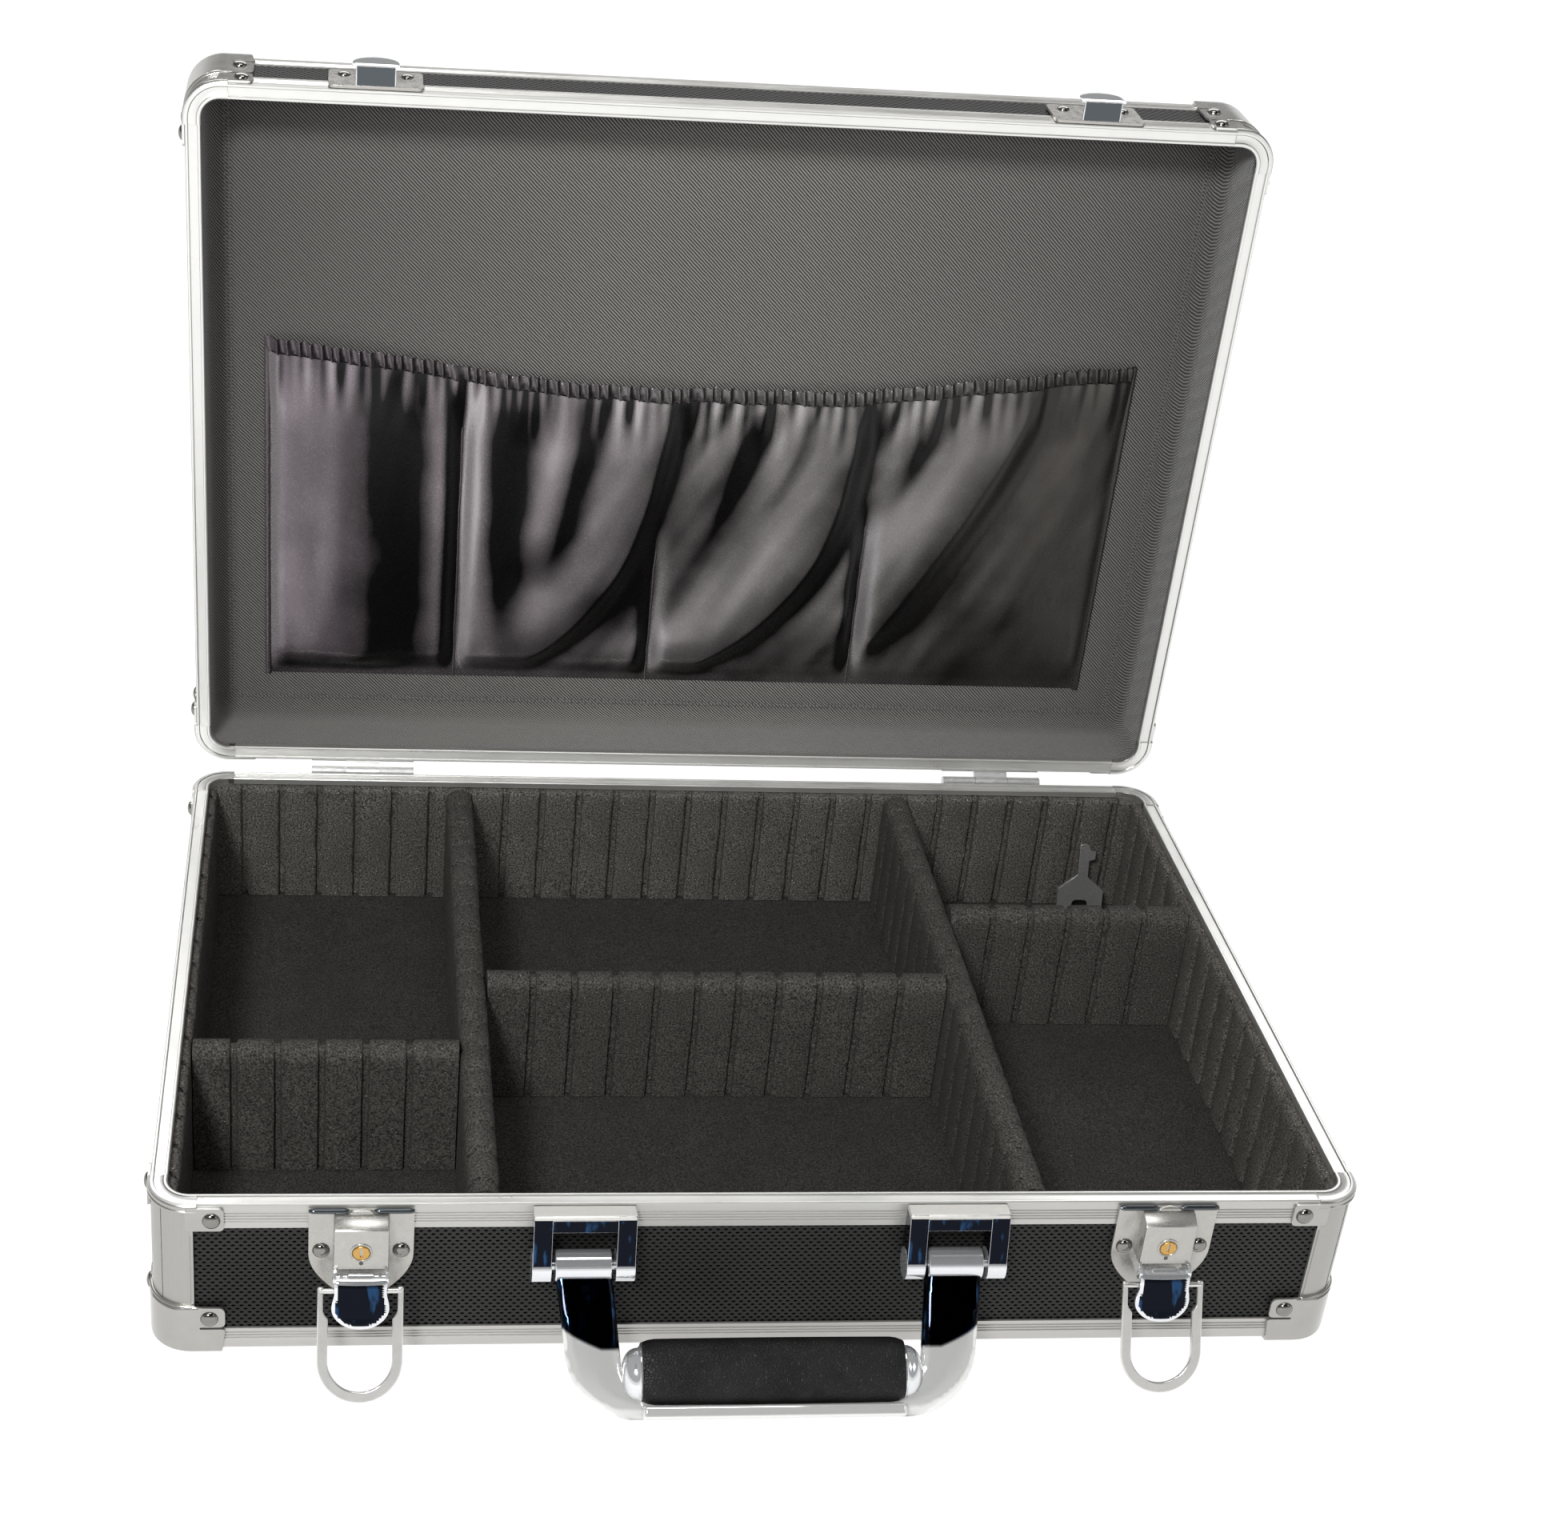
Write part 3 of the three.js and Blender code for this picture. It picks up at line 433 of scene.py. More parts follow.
def painted_reflection_chrome(name, painted_bright_below=False):
    """Chrome with a painted reflection of a dark room: its colour is nearly black with blue streaks. With
    the second argument set, the handle's lower part is painted silver, a painted reflection, below a line
    that curves down from each arm's outer edge."""
    m = Finish(name, (0.01, 0.012, 0.02), 0.06, 1.0)
    streaks = m.noise((0.22, 0.05, 0.07), 3, 0.5, turn=(0, 0.5, 0))
    wear = m.noise(0.3, 6, 0.7)
    # Painted reflection: near black with blue streaks, for a dark room seen in the chrome.
    dark = m.mix(m.span(streaks, 0.54, 0.62), (0.0075, 0.009, 0.014), (0.018, 0.050, 0.115))
    if painted_bright_below:
        parts = m.axes(m.stretched(1))
        inner = m.math("SUBTRACT", BRACKET_X + ARM_HALF, m.math("ABSOLUTE", parts["X"]))
        curve = m.math("POWER", m.span(inner, 0, 17), 0.55)
        edge = m.math("ADD", parts["Z"], m.math("MULTIPLY_ADD", curve, 12.0, 19.0))
        black = m.span(edge, -0.7, 0.7)
        # Painted reflection: silver below the curved line, near black above it.
        dark = m.mix(black, (0.64, 0.64, 0.63), dark)
        m.set("Metallic", m.span(black, 0, 1, 0.6, 1.0))
    m.set("Base Color", dark)
    m.set("Roughness", m.span(wear, 0.45, 0.75, 0.05, 0.16))
    return m.material


def panel_board(name, across, relief=0.32):
    """Black board with staggered rows of almond-shaped dimples, their painted shade near black. across is
    the axis the rows run along.
    """
    m = Finish(name, (0.034, 0.032, 0.031), 0.42, Specular_IOR_Level=0.12)
    parts = m.axes(m.stretched(1))
    along = parts["Y"] if across == "Y" else parts["X"]
    up = parts["Y"] if across == "XY" else parts["Z"]
    fine = m.noise(2.4, 4, 0.6)
    patches = m.noise(0.02, 3)
    row = m.math("DIVIDE", up, ROW_PITCH)
    shift = m.math("MULTIPLY", m.math("FLOORED_MODULO", m.math("FLOOR", row), 2.0), 0.5)
    column = m.math("ADD", m.math("DIVIDE", along, DIMPLE_PITCH), shift)
    dx = m.math("SUBTRACT", m.math("FRACT", column), 0.5)
    dz = m.math("SUBTRACT", m.math("FRACT", row), 0.5)
    far = m.math("ADD", m.math("POWER", m.math("MULTIPLY", dx, DIMPLE_PITCH / DIMPLE_HALF[0]), 2.0),
                 m.math("POWER", m.math("MULTIPLY", dz, ROW_PITCH / DIMPLE_HALF[1]), 2.0))
    hole = m.span(far, 0.45, 1.0, 1, 0)
    if relief:
        m.bump(m.math("SUBTRACT", 1.0, hole), relief)
    board = m.mix(m.span(patches, 0.3, 0.7), (0.011, 0.0108, 0.0104), (0.018, 0.0178, 0.017))
    # Painted shade: the dimples are painted near black, for the shade in their hollows.
    m.set("Base Color", m.mix(hole, board, 0.0008))
    m.set("Specular IOR Level", m.span(hole, 0, 1, 0.16, 0.0))
    m.bump(fine, 0.02)
    m.set("Roughness", m.span(fine, 0.3, 0.7, 0.36, 0.52))
    return m.material

def foam_finish(name, shade):
    """Black foam with open cells and pale flecks. shade darkens it, from 0 to 1: painted shade for the
    darker copies.
    """
    m = Finish(name, (0.04, 0.037, 0.034), 0.86, Specular_IOR_Level=0.3)
    cells = m.noise(1.3, 4, 0.6)
    grain = m.noise(3, 2, 0.6)
    mottle = m.noise(0.05, 4, 0.6)
    flecks = m.spots(0.42)
    body = m.mix(m.span(cells, 0.38, 0.66), (0.004, 0.0038, 0.0034), (0.128, 0.121, 0.106))
    body = m.mix(m.span(mottle, 0.3, 0.7, 0, 0.35), body, (0.020, 0.018, 0.016))
    body = m.mix(m.span(grain, 0.60, 0.72, 0, 0.6), body, (0.17, 0.16, 0.145))
    body = m.mix(m.span(flecks, 0.055, 0.09, 1, 0), body, (0.46, 0.44, 0.41))
    # Painted shade: the foam's colour is mixed towards black by shade.
    m.set("Base Color", m.mix(shade, body, 0))
    m.set("Roughness", m.span(cells, 0.3, 0.7, 0.92, 0.72))
    m.bump(cells, 0.28)
    m.bump(grain, 0.10)
    return m.material


def lining_finish():
    """Dark twill: threads at a slant, one light thread in each pair, with painted shade towards the side
    walls.
    """
    m = Finish("twill_lining", (0.05, 0.046, 0.043), 0.85, Sheen_Weight=0.25, Sheen_Roughness=0.5)
    wobble = m.noise(0.35, 3)
    parts = m.axes(m.stretched(1))
    across = m.math("SUBTRACT", parts["Y"], parts["Z"])
    slant = m.math("ADD", m.math("SUBTRACT", parts["X"], across), m.math("MULTIPLY", wobble, 0.7))
    wave = m.math("SINE", m.math("MULTIPLY", slant, math.tau / 1.65))
    weft = m.math("SINE", m.math("MULTIPLY", m.math("ADD", parts["X"], across), math.tau / 0.9))
    weave = m.math("ADD", wave, m.math("MULTIPLY", weft, 0.5))
    fibres = m.noise(3, 5, 0.7)
    cloth = m.mix(m.span(weave, 0.0, 0.9), (0.003, 0.0028, 0.0027), (0.27, 0.257, 0.24))
    cloth = m.mix(m.span(fibres, 0.52, 0.72, 0, 0.35), cloth, (0.30, 0.285, 0.27))
    # Painted shade: the cloth is painted darker towards the lid's left and right walls.
    outward = m.span(m.math("ABSOLUTE", parts["X"]), 40, 216, 0, 0.42)
    m.set("Base Color", m.mix(outward, cloth, 0.003))
    m.bump(m.span(weave, -1.35, 1.35), 0.25)
    m.bump(fibres, 0.12)
    return m.material


def satin_finish(name, softness):
    """Black satin whose sheen is painted into its colour from the cloth's own slope: light where it faces
    left, black where it faces right, as if lit from the left. softness blurs the step between the two."""
    m = Finish(name, (0.016, 0.014, 0.018), 0.36, 0.6)
    threads = m.noise((4.5, 0.7, 4.5), 4, 0.7)
    grain = m.noise(1.4, 5, 0.7)
    crease = m.noise((0.16, 0.045, 0.1), 4, 0.5, turn=(0, 0, 0.45))
    drift = m.noise(0.02, 3)
    normal = m.axes(m.node("TexCoord").outputs["Normal"])
    # Painted sheen: how far the cloth faces left, with a slow random drift, picks its dark or lit colour.
    lean = m.math("ADD", m.math("MULTIPLY", normal["X"], -1.0), m.math("MULTIPLY", normal["Y"], -0.25))
    lean = m.math("ADD", lean, m.span(drift, 0.3, 0.7, -0.10, 0.10))
    sheen = m.span(lean, -0.13 - softness, 0.26 + softness)
    place = m.axes(m.stretched(1))["X"]
    # Painted light: the lit colour is lighter towards the left of the lid.
    light = m.mix(m.span(place, -190, 60), (0.135, 0.110, 0.127), (0.165, 0.157, 0.150))
    light = m.mix(m.span(grain, 0.35, 0.7, 0, 0.5), light, (0.26, 0.24, 0.25))
    # Painted shade: towards the right of the lid the painted sheen is flattened, its lit colour darker and
    # its dark colour lighter.
    painted_shade_right = m.span(place, 100, 165)
    # Painted highlight on the slopes that face furthest left.
    light = m.mix(m.span(lean, 0.28 + softness, 0.5 + softness, 0, 0.8), light, (0.36, 0.34, 0.35))
    light = m.mix(painted_shade_right, light, (0.060, 0.055, 0.050))
    dark = m.mix(painted_shade_right, (0.0055, 0.005, 0.005), (0.022, 0.020, 0.0185))
    m.set("Base Color", m.mix(sheen, dark, light))
    m.set("Roughness", m.span(grain, 0.3, 0.7, 0.20, 0.32))
    m.bump(threads, 0.05)
    m.bump(grain, 0.05)
    m.bump(crease, 0.5, 0.35)
    return m.material


def leather_finish():
    """Black leather with fine cells and pores."""
    m = Finish("black_leather_grip", (0.012, 0.0115, 0.0115), 0.5, Specular_IOR_Level=0.14)
    cells = m.spots(0.85, "DISTANCE_TO_EDGE")
    pores = m.noise(1.8, 5, 0.65)
    worn = m.noise(0.07, 4)
    m.set("Base Color", m.mix(m.span(worn, 0.35, 0.7), 0.0045, (0.010, 0.0098, 0.0098)))
    m.set("Roughness", m.span(pores, 0.3, 0.7, 0.40, 0.58))
    m.bump(m.span(cells, 0.0, 0.16), 0.14)
    m.bump(pores, 0.06)
    return m.material


def thread_finish():
    """Dark twisted thread."""
    m = Finish("seam_thread", (0.03, 0.028, 0.027), 0.7, Sheen_Weight=0.4)
    twist = m.noise(2.5, 3)
    m.set("Base Color", m.mix(m.span(twist, 0.35, 0.7), (0.016, 0.015, 0.015), (0.08, 0.075, 0.07)))
    m.bump(twist, 0.08)
    return m.material


BAND_ALUMINIUM = metal("ribbed_aluminium", (0.46, 0.455, 0.435), 0.32, (0.02, 0.02, 2.4), 0.008, marks=0.08)
# A smoother copy of the aluminium whose colour is painted brighter: a painted highlight for level faces.
ALUMINIUM_PAINTED_HIGHLIGHT = metal("aluminium_painted_highlight", (0.74, 0.74, 0.72), 0.3, (0.02, 0.02, 2.4), 0.004, marks=0.05)
POST_ALUMINIUM = metal("post_aluminium", (0.36, 0.355, 0.335), 0.34, (2.4, 2.4, 0.02), 0.008, marks=0.08)
CORNER_NICKEL = metal("corner_nickel", (0.38, 0.375, 0.355), 0.2, 0.08, 0.001, 0.03, 0.05)
SATIN_NICKEL = metal("satin_nickel", (0.42, 0.41, 0.385), 0.26, (0.35, 3.0, 0.35), 0.006, 0.06, 0.2)
CHROME = metal("polished_chrome", (0.66, 0.67, 0.68), 0.07, 0.4, 0.003, 0.02, 0.18, 0.95)
RIVET_STEEL = metal("rivet_steel", (0.24, 0.235, 0.22), 0.12, 0.6, 0.003, 0.03, 0.15, 0.9, 1.0)
# Chrome painted dark, a painted dark reflection, for the latch's roll and the catch's web.
DIM_CHROME_PAINTED_REFLECTION = metal("dim_chrome_painted_reflection", (0.075, 0.085, 0.092), 0.12, 0.6, 0.004, 0.03, 0.2, 0.9)
BAIL_STEEL = metal("bail_steel", (0.62, 0.615, 0.595), 0.2, 0.2, 0.001, 0.03, 0.05, 0.92)
HINGE_STEEL = metal("hinge_steel", (0.60, 0.60, 0.59), 0.32, 0.5, 0.006, 0.06)
KEY_STEEL = metal("key_nickel", (0.42, 0.42, 0.41), 0.2, (0.4, 0.4, 1.5), 0.01, 0.06)
BRASS = metal("lock_brass", (0.52, 0.31, 0.09), 0.22, 0.8, 0.008, 0.06)
MIRROR_CHROME = metal("mirror_chrome", (0.66, 0.67, 0.69), 0.06, 0.4, 0.002, 0.02, 0.15, 0.92)
# Chrome with a painted dark reflection, and the bow's chrome whose painted reflection turns silver low down.
CHROME_PAINTED_DARK_REFLECTION = painted_reflection_chrome("chrome_painted_dark_reflection")
BOW_CHROME_PAINTED_REFLECTION = painted_reflection_chrome("bow_chrome_painted_reflection", painted_bright_below=True)
ROUGH_CAST = metal("rough_cast_flange", (0.62, 0.61, 0.58), 0.42, 0.7, 0.10, 0.15)
DARK_GAP = metal("shadowed_steel", 0.10, 0.5, 0.5)
PANEL_FRONT = panel_board("dimpled_board_front", "X")
PANEL_SIDE = panel_board("dimpled_board_side", "Y")
PANEL_FLAT = panel_board("dimpled_board_flat", "XY")
PRESSED_FRONT = panel_board("pressed_board_front", "X", relief=0)
PRESSED_SIDE = panel_board("pressed_board_side", "Y", relief=0)
FOAM = foam_finish("closed_cell_foam", 0.0)
# Darker copies of the foam as painted shade: the dividers and the floor sheets stand where less light falls.
DIVIDER_FOAM_PAINTED_SHADE = foam_finish("divider_foam_painted_shade", 0.38)
FLOOR_FOAM_PAINTED_SHADE = foam_finish("floor_foam_sheet", 0.66)
TWILL = lining_finish()
SATIN = satin_finish("black_satin", 0.0)
HEM_SATIN = satin_finish("gathered_satin", 0.75)
THREAD = thread_finish()
LEATHER = leather_finish()


def repaint(node, material):
    """Gives a CAD node that stays its finish."""
    data = frame["nodes"][node].data
    data.materials.clear()
    data.materials.append(material)


# ---- Rims, edges, posts and corners ----
RIB_DEPTH = 0.45


def ribs(start, end, count):
    """Points of shallow grooves on the outer face (inset 0), between two distances from its edge."""
    pitch = (end - start) / count
    points = []
    for a in start + np.arange(count) * pitch:
        points += [(depth, a + pitch * share)
                   for depth, share in ((0.0, 0), (RIB_DEPTH, 0.18), (RIB_DEPTH, 0.42), (0.0, 0.62))]
    return points


# Profiles as (inset from the outer face, distance from the parting plane or the outer edge)
RIM_TOP = [(6.5, 3.0), (6.5, 0.5), (6.2, 0.12), (5.75, 0.0), (5.35, 0.1), (5.15, 0.4), (5.1, 0.85),
           (1.45, 0.85), (1.4, 0.4), (1.15, 0.08), (0.75, 0.0), (0.3, 0.12), (0.04, 0.5)]
RIM_SIDE = [(0.0, 1.0), *ribs(3.9, 9.0, 4), (0.0, BAND), (1.0, BAND), (1.0, 3.0)]
EDGE_PROFILE = [(0.0, EDGE_HEIGHT), *reversed(ribs(5.0, 8.9, 3)), (0.0, 1.6), (0.35, 0.5), (1.2, 0.0),
                (13.8, 0.0), (13.8, 3.0), (1.0, 3.0), (1.0, EDGE_HEIGHT)]


def paint_highlight_on_level_faces(made):
    """The level faces, where lid and base meet, are smoother than the ribbed sides and painted brighter: a
    painted highlight.
    """
    made.data.materials.append(ALUMINIUM_PAINTED_HIGHLIGHT)
    for face in made.data.polygons:
        face.material_index = int(abs(face.normal.z) > 0.9)


def build_frames():
    for half, data in HALVES.items():
        rim = straight_runs(at_height(RIM_TOP + RIM_SIDE, data["rim"]))
        edge = ring_frame(at_height(EDGE_PROFILE, data["edge"]), 8)
        lengths = (("rim_lengths", rim, f"{half}_rim"), ("edge_frame", edge, data["edge_node"]))
        for name, shape, node in lengths:
            made = piece(f"{half}_{name}", shape, BAND_ALUMINIUM, half, [node], "satin_aluminium",
                         data["local"], 30)
            if shape is rim:
                paint_highlight_on_level_faces(made)


def corner_sweep(shape, profile, reach):
    """The closed (inset, z) profile round the front left corner, reach beyond the arc on both sides."""
    stations = [-HALF_ARC - reach, *np.linspace(-HALF_ARC, HALF_ARC, 15), HALF_ARC + reach]
    return shape.loft([[corner_point(s, i, z) for i, z in profile] for s in stations])


def dome(shape, matrix, radius, height):
    """A domed rivet head standing on the local XY plane."""
    profile = [(0, -0.4), (radius, -0.4), (radius, 0.12)]
    for a in np.radians([0, 18, 36, 54, 72, 84]):
        profile.append((radius * 0.97 * math.cos(a), 0.12 + (height - 0.12) * math.sin(a)))
    profile.append((0, height))
    return shape.lathe(profile, matrix, 28)


def facing(point, direction):
    """A matrix in millimetres whose Z axis points along direction."""
    turn = Vector(direction).to_track_quat("Z", "Y").to_matrix().to_4x4()
    return Matrix.Translation(Vector(point)) @ turn


# Where the plates' tabs start and end, and each plate's rivet as (x, distance from the rim or outer edge)
TAB_ROOT_X, TAB_X = -216.5, -202.5
RIVETS = {"joiner": (-207.0, 6.8), "cap": (-208.3, 15.6)}


def front_s(x):
    """Distance along the outer face from the corner's middle to an x on the front."""
    return HALF_ARC + x + W - CORNER


def joiner_shape(height):
    """The joiner: a beaded ring in the corner, and a riveted tab along each band."""
    ring = [(6.5, 3.4), (6.5, 0.3), (6.1, 0.0), (5.0, 0.0), (4.6, 0.35), (1.5, 0.35), (1.1, -0.05),
            (0.2, -0.05), (-0.7, 0.35), (-1.15, 1.0), (-1.2, 1.7), (-0.75, 2.1), (-0.75, 2.5), (-1.2, 2.9),
            (-1.15, 3.6), (-0.6, 4.0), (0.0, 4.0), (0.6, 3.4)]
    skirt = [(0.05, 3.5), (0.05, 14.5), (1.3, 14.5), (1.3, 3.5)]
    shape = corner_sweep(Shape(), at_height(ring, height), 2.6)
    corner_sweep(shape, at_height(skirt, height), 1.2)
    tab = rounded(front_s(TAB_ROOT_X), front_s(TAB_X), 1.4, 11.6, 1.8)
    for line in (tab, [(-s, t) for s, t in reversed(tab)]):
        shape.sheet([line], lambda s, t, off: corner_point(s, -1.15 + off, height(t)), 1.0, 1.6)
    return shape


def cap_place(height):
    """Maps a cap's flat sheet round the corner. t counts up the side from the bottom bend."""
    bend, out = 1.5, -1.2
    arc_length = bend * math.pi / 2

    def place(s, t, off):
        r = bend - off
        if t >= 0:
            inset, away = out + off, out + bend + t
        elif t > -arc_length:
            a = -t / bend
            inset, away = out + bend - r * math.cos(a), out + bend - r * math.sin(a)
        else:
            inset, away = out + bend - t - arc_length, out + off
        return corner_point(s, inset, height(away))
    return place


def cap_outline(top, slot_low, slot_high):
    """A cap's flat outline: half of it, for s above zero, and its mirror image. A slot parts the tab from
    the foot."""
    end, root, under = front_s(TAB_X), front_s(-212.0), -2.36 - 9.5
    half = [(front_s(-205.5), under), (end, under + 3), *arc(end - 1.2, slot_low - 1.2, 1.2, 0, 90, 3),
            *arc(root + 0.5, (slot_low + slot_high) / 2, 0.5, 270, 90, 4),
            *arc(end - 2, slot_high + 2, 2, -90, 0, 4), *arc(end - 2.4, top - 2.8, 2.4, 0, 90, 4),
            (root + 1.5, top - 0.3), (root - 1.5, top)]
    return half + [(-s, t) for s, t in reversed(half)]


def cap_shape(height, top):
    """A corner cap with a rolled lip along its upper edge."""
    shape = Shape().sheet([cap_outline(top, 10.1, 11.1)], cap_place(height), 1.0, 1.5)
    lip = [(-0.3 + 0.95 * math.cos(a), top + 0.15 + 0.75 * math.sin(a)) for a in turns(10)]
    return corner_sweep(shape, at_height(lip, height), 0.6)


def riveted(height, rivet):
    """The two rivet heads of a corner plate, one on the front and one on the left side."""
    x, away = rivet
    heads = Shape()
    for spot, direction in (((x, -D - 1.1, height(away)), (0, -1, 0)),
                            ((-W - 1.1, -D + (x + W), height(away)), (-1, 0, 0))):
        dome(heads, facing(spot, direction), 3.4, 1.9)
    return heads


def build_corners():
    for half, data in HALVES.items():
        joiner, cap = joiner_shape(data["rim"]), cap_shape(data["edge"], data["cap_top"])
        kinds = (("joiner", joiner, riveted(data["rim"], RIVETS["joiner"])),
                 ("cap", cap, riveted(data["edge"], RIVETS["cap"])))
        for corner, (sx, sy) in CORNERS.items():
            flip = mirror(sx, sy)
            for kind, shape, heads in kinds:
                plate = piece(f"{half}_{kind}_plate_{corner}", shape.moved(flip), CORNER_NICKEL, half,
                              [f"{half}_{kind}_{corner}"], "corner_plate", data["local"], 42)
                if kind == "joiner":
                    paint_highlight_on_level_faces(plate)
                piece(f"{half}_{kind}_rivets_{corner}", heads.moved(flip), RIVET_STEEL, half, (),
                      "corner_plate", data["local"])


def build_posts():
    """The base's corner posts, each with a fine line where its bend starts."""
    low, high, reach = EDGE_HEIGHT + 0.1, TOP - 3.5, 1.2
    bend = [HALF_ARC + 0.1, HALF_ARC + 0.4, HALF_ARC + reach]
    stations = [*(-s for s in reversed(bend)), *np.linspace(-HALF_ARC, HALF_ARC, 15), *bend]
    rings = []
    for s in stations:
        out = 0.25 if abs(abs(s) - HALF_ARC - 0.25) < 0.2 else 0.0
        rings.append([corner_point(s, i, z) for i, z in ((out, low), (out, high), (2, high), (2, low))])
    post = Shape().loft(rings)
    for corner, (sx, sy) in CORNERS.items():
        piece(f"base_post_round_{corner}", post.moved(mirror(sx, sy)), POST_ALUMINIUM, "base",
              [f"base_post_{corner}"], "satin_aluminium")


# ---- Panels ----
def grid_border(n, m):
    """The places (i, j) round the edge of an n by m grid, in order."""
    return ([(i, 0) for i in range(n - 1)] + [(n - 1, j) for j in range(m - 1)]
            + [(i, m - 1) for i in range(n - 1, 0, -1)] + [(0, j) for j in range(m - 1, 0, -1)])


def dimpled_panel(low, high, face, along):
    """A panel whose outer face has real dimples. face is the outer face's coordinate on the other axis."""
    step_s, step_t = 0.6, ROW_PITCH / 4
    s = np.arange(low[0], high[0] + step_s / 2, step_s)
    t = np.arange(low[1], high[1] + step_t / 2, step_t)
    S, T = np.meshgrid(s, t, indexing="ij")
    row = T / ROW_PITCH
    column = S / DIMPLE_PITCH + (np.floor(row) % 2) * 0.5
    dx = (column - np.floor(column) - 0.5) * DIMPLE_PITCH / DIMPLE_HALF[0]
    dz = (row - np.floor(row) - 0.5) * ROW_PITCH / DIMPLE_HALF[1]
    depth = 0.26 * np.clip(1.15 - (dx ** 2 + dz ** 2), 0, 1)
    inward = -math.copysign(1, face)
    front, back = face + inward * depth, face + inward * 1.6
    n, m = S.shape

    def place(a, b, c):
        return (a, b, c) if along == "X" else (b, a, c)
    verts = [place(S[i, j], front[i, j], T[i, j]) for i in range(n) for j in range(m)]
    faces = [(i * m + j, (i + 1) * m + j, (i + 1) * m + j + 1, i * m + j + 1)
             for i in range(n - 1) for j in range(m - 1)]
    border = grid_border(n, m)
    start = len(verts)
    verts += [place(S[i, j], back, T[i, j]) for i, j in border]
    edge = [i * m + j for i, j in border]
    below = list(range(start, len(verts)))
    faces += [(a, c, d, b) for a, b, c, d in zip(edge, edge[1:] + edge[:1], below, below[1:] + below[:1])]
    faces.append(tuple(below))
    return Shape().add(verts, faces)


BAND_INSET = 0.4


def build_panels():
    """The boards. Those in plain view have their dimples pressed into the mesh."""
    low, high = box_mm("base_front_panel")
    panel = dimpled_panel((low[0], low[2]), (high[0], high[2]), low[1], "X")
    piece("base_front_board", panel, PRESSED_FRONT, "base", ["base_front_panel"], "black_panel", angle=60)
    repaint("base_back_panel", PANEL_FRONT)
    repaint("base_left_panel", PANEL_SIDE)
    repaint("base_right_panel", PANEL_SIDE)
    repaint("base_floor_panel", PANEL_FLAT)
    low, high = closed_box_mm("lid_side_band")
    bands = (("X", W, D, ("front", "back"), PRESSED_FRONT), ("Y", D, W, ("left", "right"), PRESSED_SIDE))
    for sign in (-1, 1):
        for along, half, other, names, finish in bands:
            reach = half - CORNER - 1
            run = dimpled_panel((-reach, low[2]), (reach, high[2]), sign * (other - BAND_INSET), along)
            piece(f"lid_band_{names[sign > 0]}", run, finish, "lid", ["lid_side_band"], "black_panel", LID,
                  60)
    low, high = closed_box_mm("lid_top_panel")
    outline = rounded(low[0], high[0], low[1], high[1], 2)
    layers = ((low[2], 0.0), (high[2] - 0.4, 0.0), (high[2], 0.4))  # height, and how far it is cut in
    board = Shape().loft([[(x - math.copysign(cut, x), y - math.copysign(cut, y), z) for x, y in outline]
                          for z, cut in layers])
    piece("lid_top_board", board, PANEL_FLAT, "lid", ["lid_top_panel"], "black_panel", LID, 20)


# ---- Foam ----
# A cross cut's section, as the distance from its middle and the share of its depth
GROOVE = ((-5.5, 0.0), (-GROOVE_HALF - 1.0, 0.0), (-GROOVE_HALF - 0.12, 0.10), (-GROOVE_HALF, 0.95),
          (-0.5, 1.0), (GROOVE_HALF * 0.55, 0.96), (GROOVE_HALF * 0.85, 0.72), (GROOVE_HALF, 0.2),
          (GROOVE_HALF + 1.0, 0.0))


def groove_stations(start, end, first):
    """Distances along a foam strip and how deep the strip is cut at each of them, from 0 to 1."""
    found = [(start, 0.0)]
    middle = first + math.ceil((start + 5 - first) / GROOVE_PITCH) * GROOVE_PITCH
    while middle < end - 5:
        found += [(middle + away, cut) for away, cut in GROOVE]
        middle += GROOVE_PITCH
    found.append((end, 0.0))
    return found


def foam_piece(name, shape, finish, body, node):
    """A firm foam piece that stands for a node."""
    piece(name, shape, finish, body, [node], "foam", angle=50)


def build_wall_foam():
    """The strip round the walls. Its right run bulges a little near its front end."""
    low, high = box_mm("wall_foam")
    out, inner, z0, z1 = W - high[0], 10.0, low[2], high[2]
    levels = [z0, *np.linspace(z0 + 5, z1 - 2.2, 12)]
    rings = []
    for half, other, turn in PLAN_SIDES:
        spin = Matrix.Rotation(math.radians(turn), 4, "Z")
        bulge = 3.4 if turn == 90 else 0.0
        stations = groove_stations(inner - half, half - inner, GROOVE_START)[:-1]
        for n, (s, cut) in enumerate(stations):
            ring = []
            for z in levels:
                torn = wavy(0.5, s * 0.1 + turn, z * 0.35, turn) if 0.15 < cut < 0.9 else 0
                sag = wavy(0.35, s * 0.03, z * 0.04, turn + 5.0)
                belly = bulge * math.exp(-((s + 120) / 45) ** 2 - ((z - 16) / 18) ** 2)
                depth = cut * GROOVE_DEPTH * (1 + wavy(0.12, z * 0.3, s))
                ring.append((s + torn, inner + sag + belly - depth, z))
            for a, drop in ((0.25, 1.5), (0.9, 0.6), (1.9, 0.12)):
                ring.append((s, inner - a - cut * GROOVE_DEPTH * 0.8, z1 - drop - cut))
            ring += [(s, out + 1.2, z1 - 0.05 - cut * 0.3), (s, out, z1 - 0.5), (s, out, z0)]
            # The first ring of a run is the mitred corner.
            rings.append([spin @ Vector((i - half if n == 0 else x, i - other, z)) for x, i, z in ring])
    foam_piece("wall_foam_lining", Shape().loft(rings, closed=True), FOAM, "base", "wall_foam")


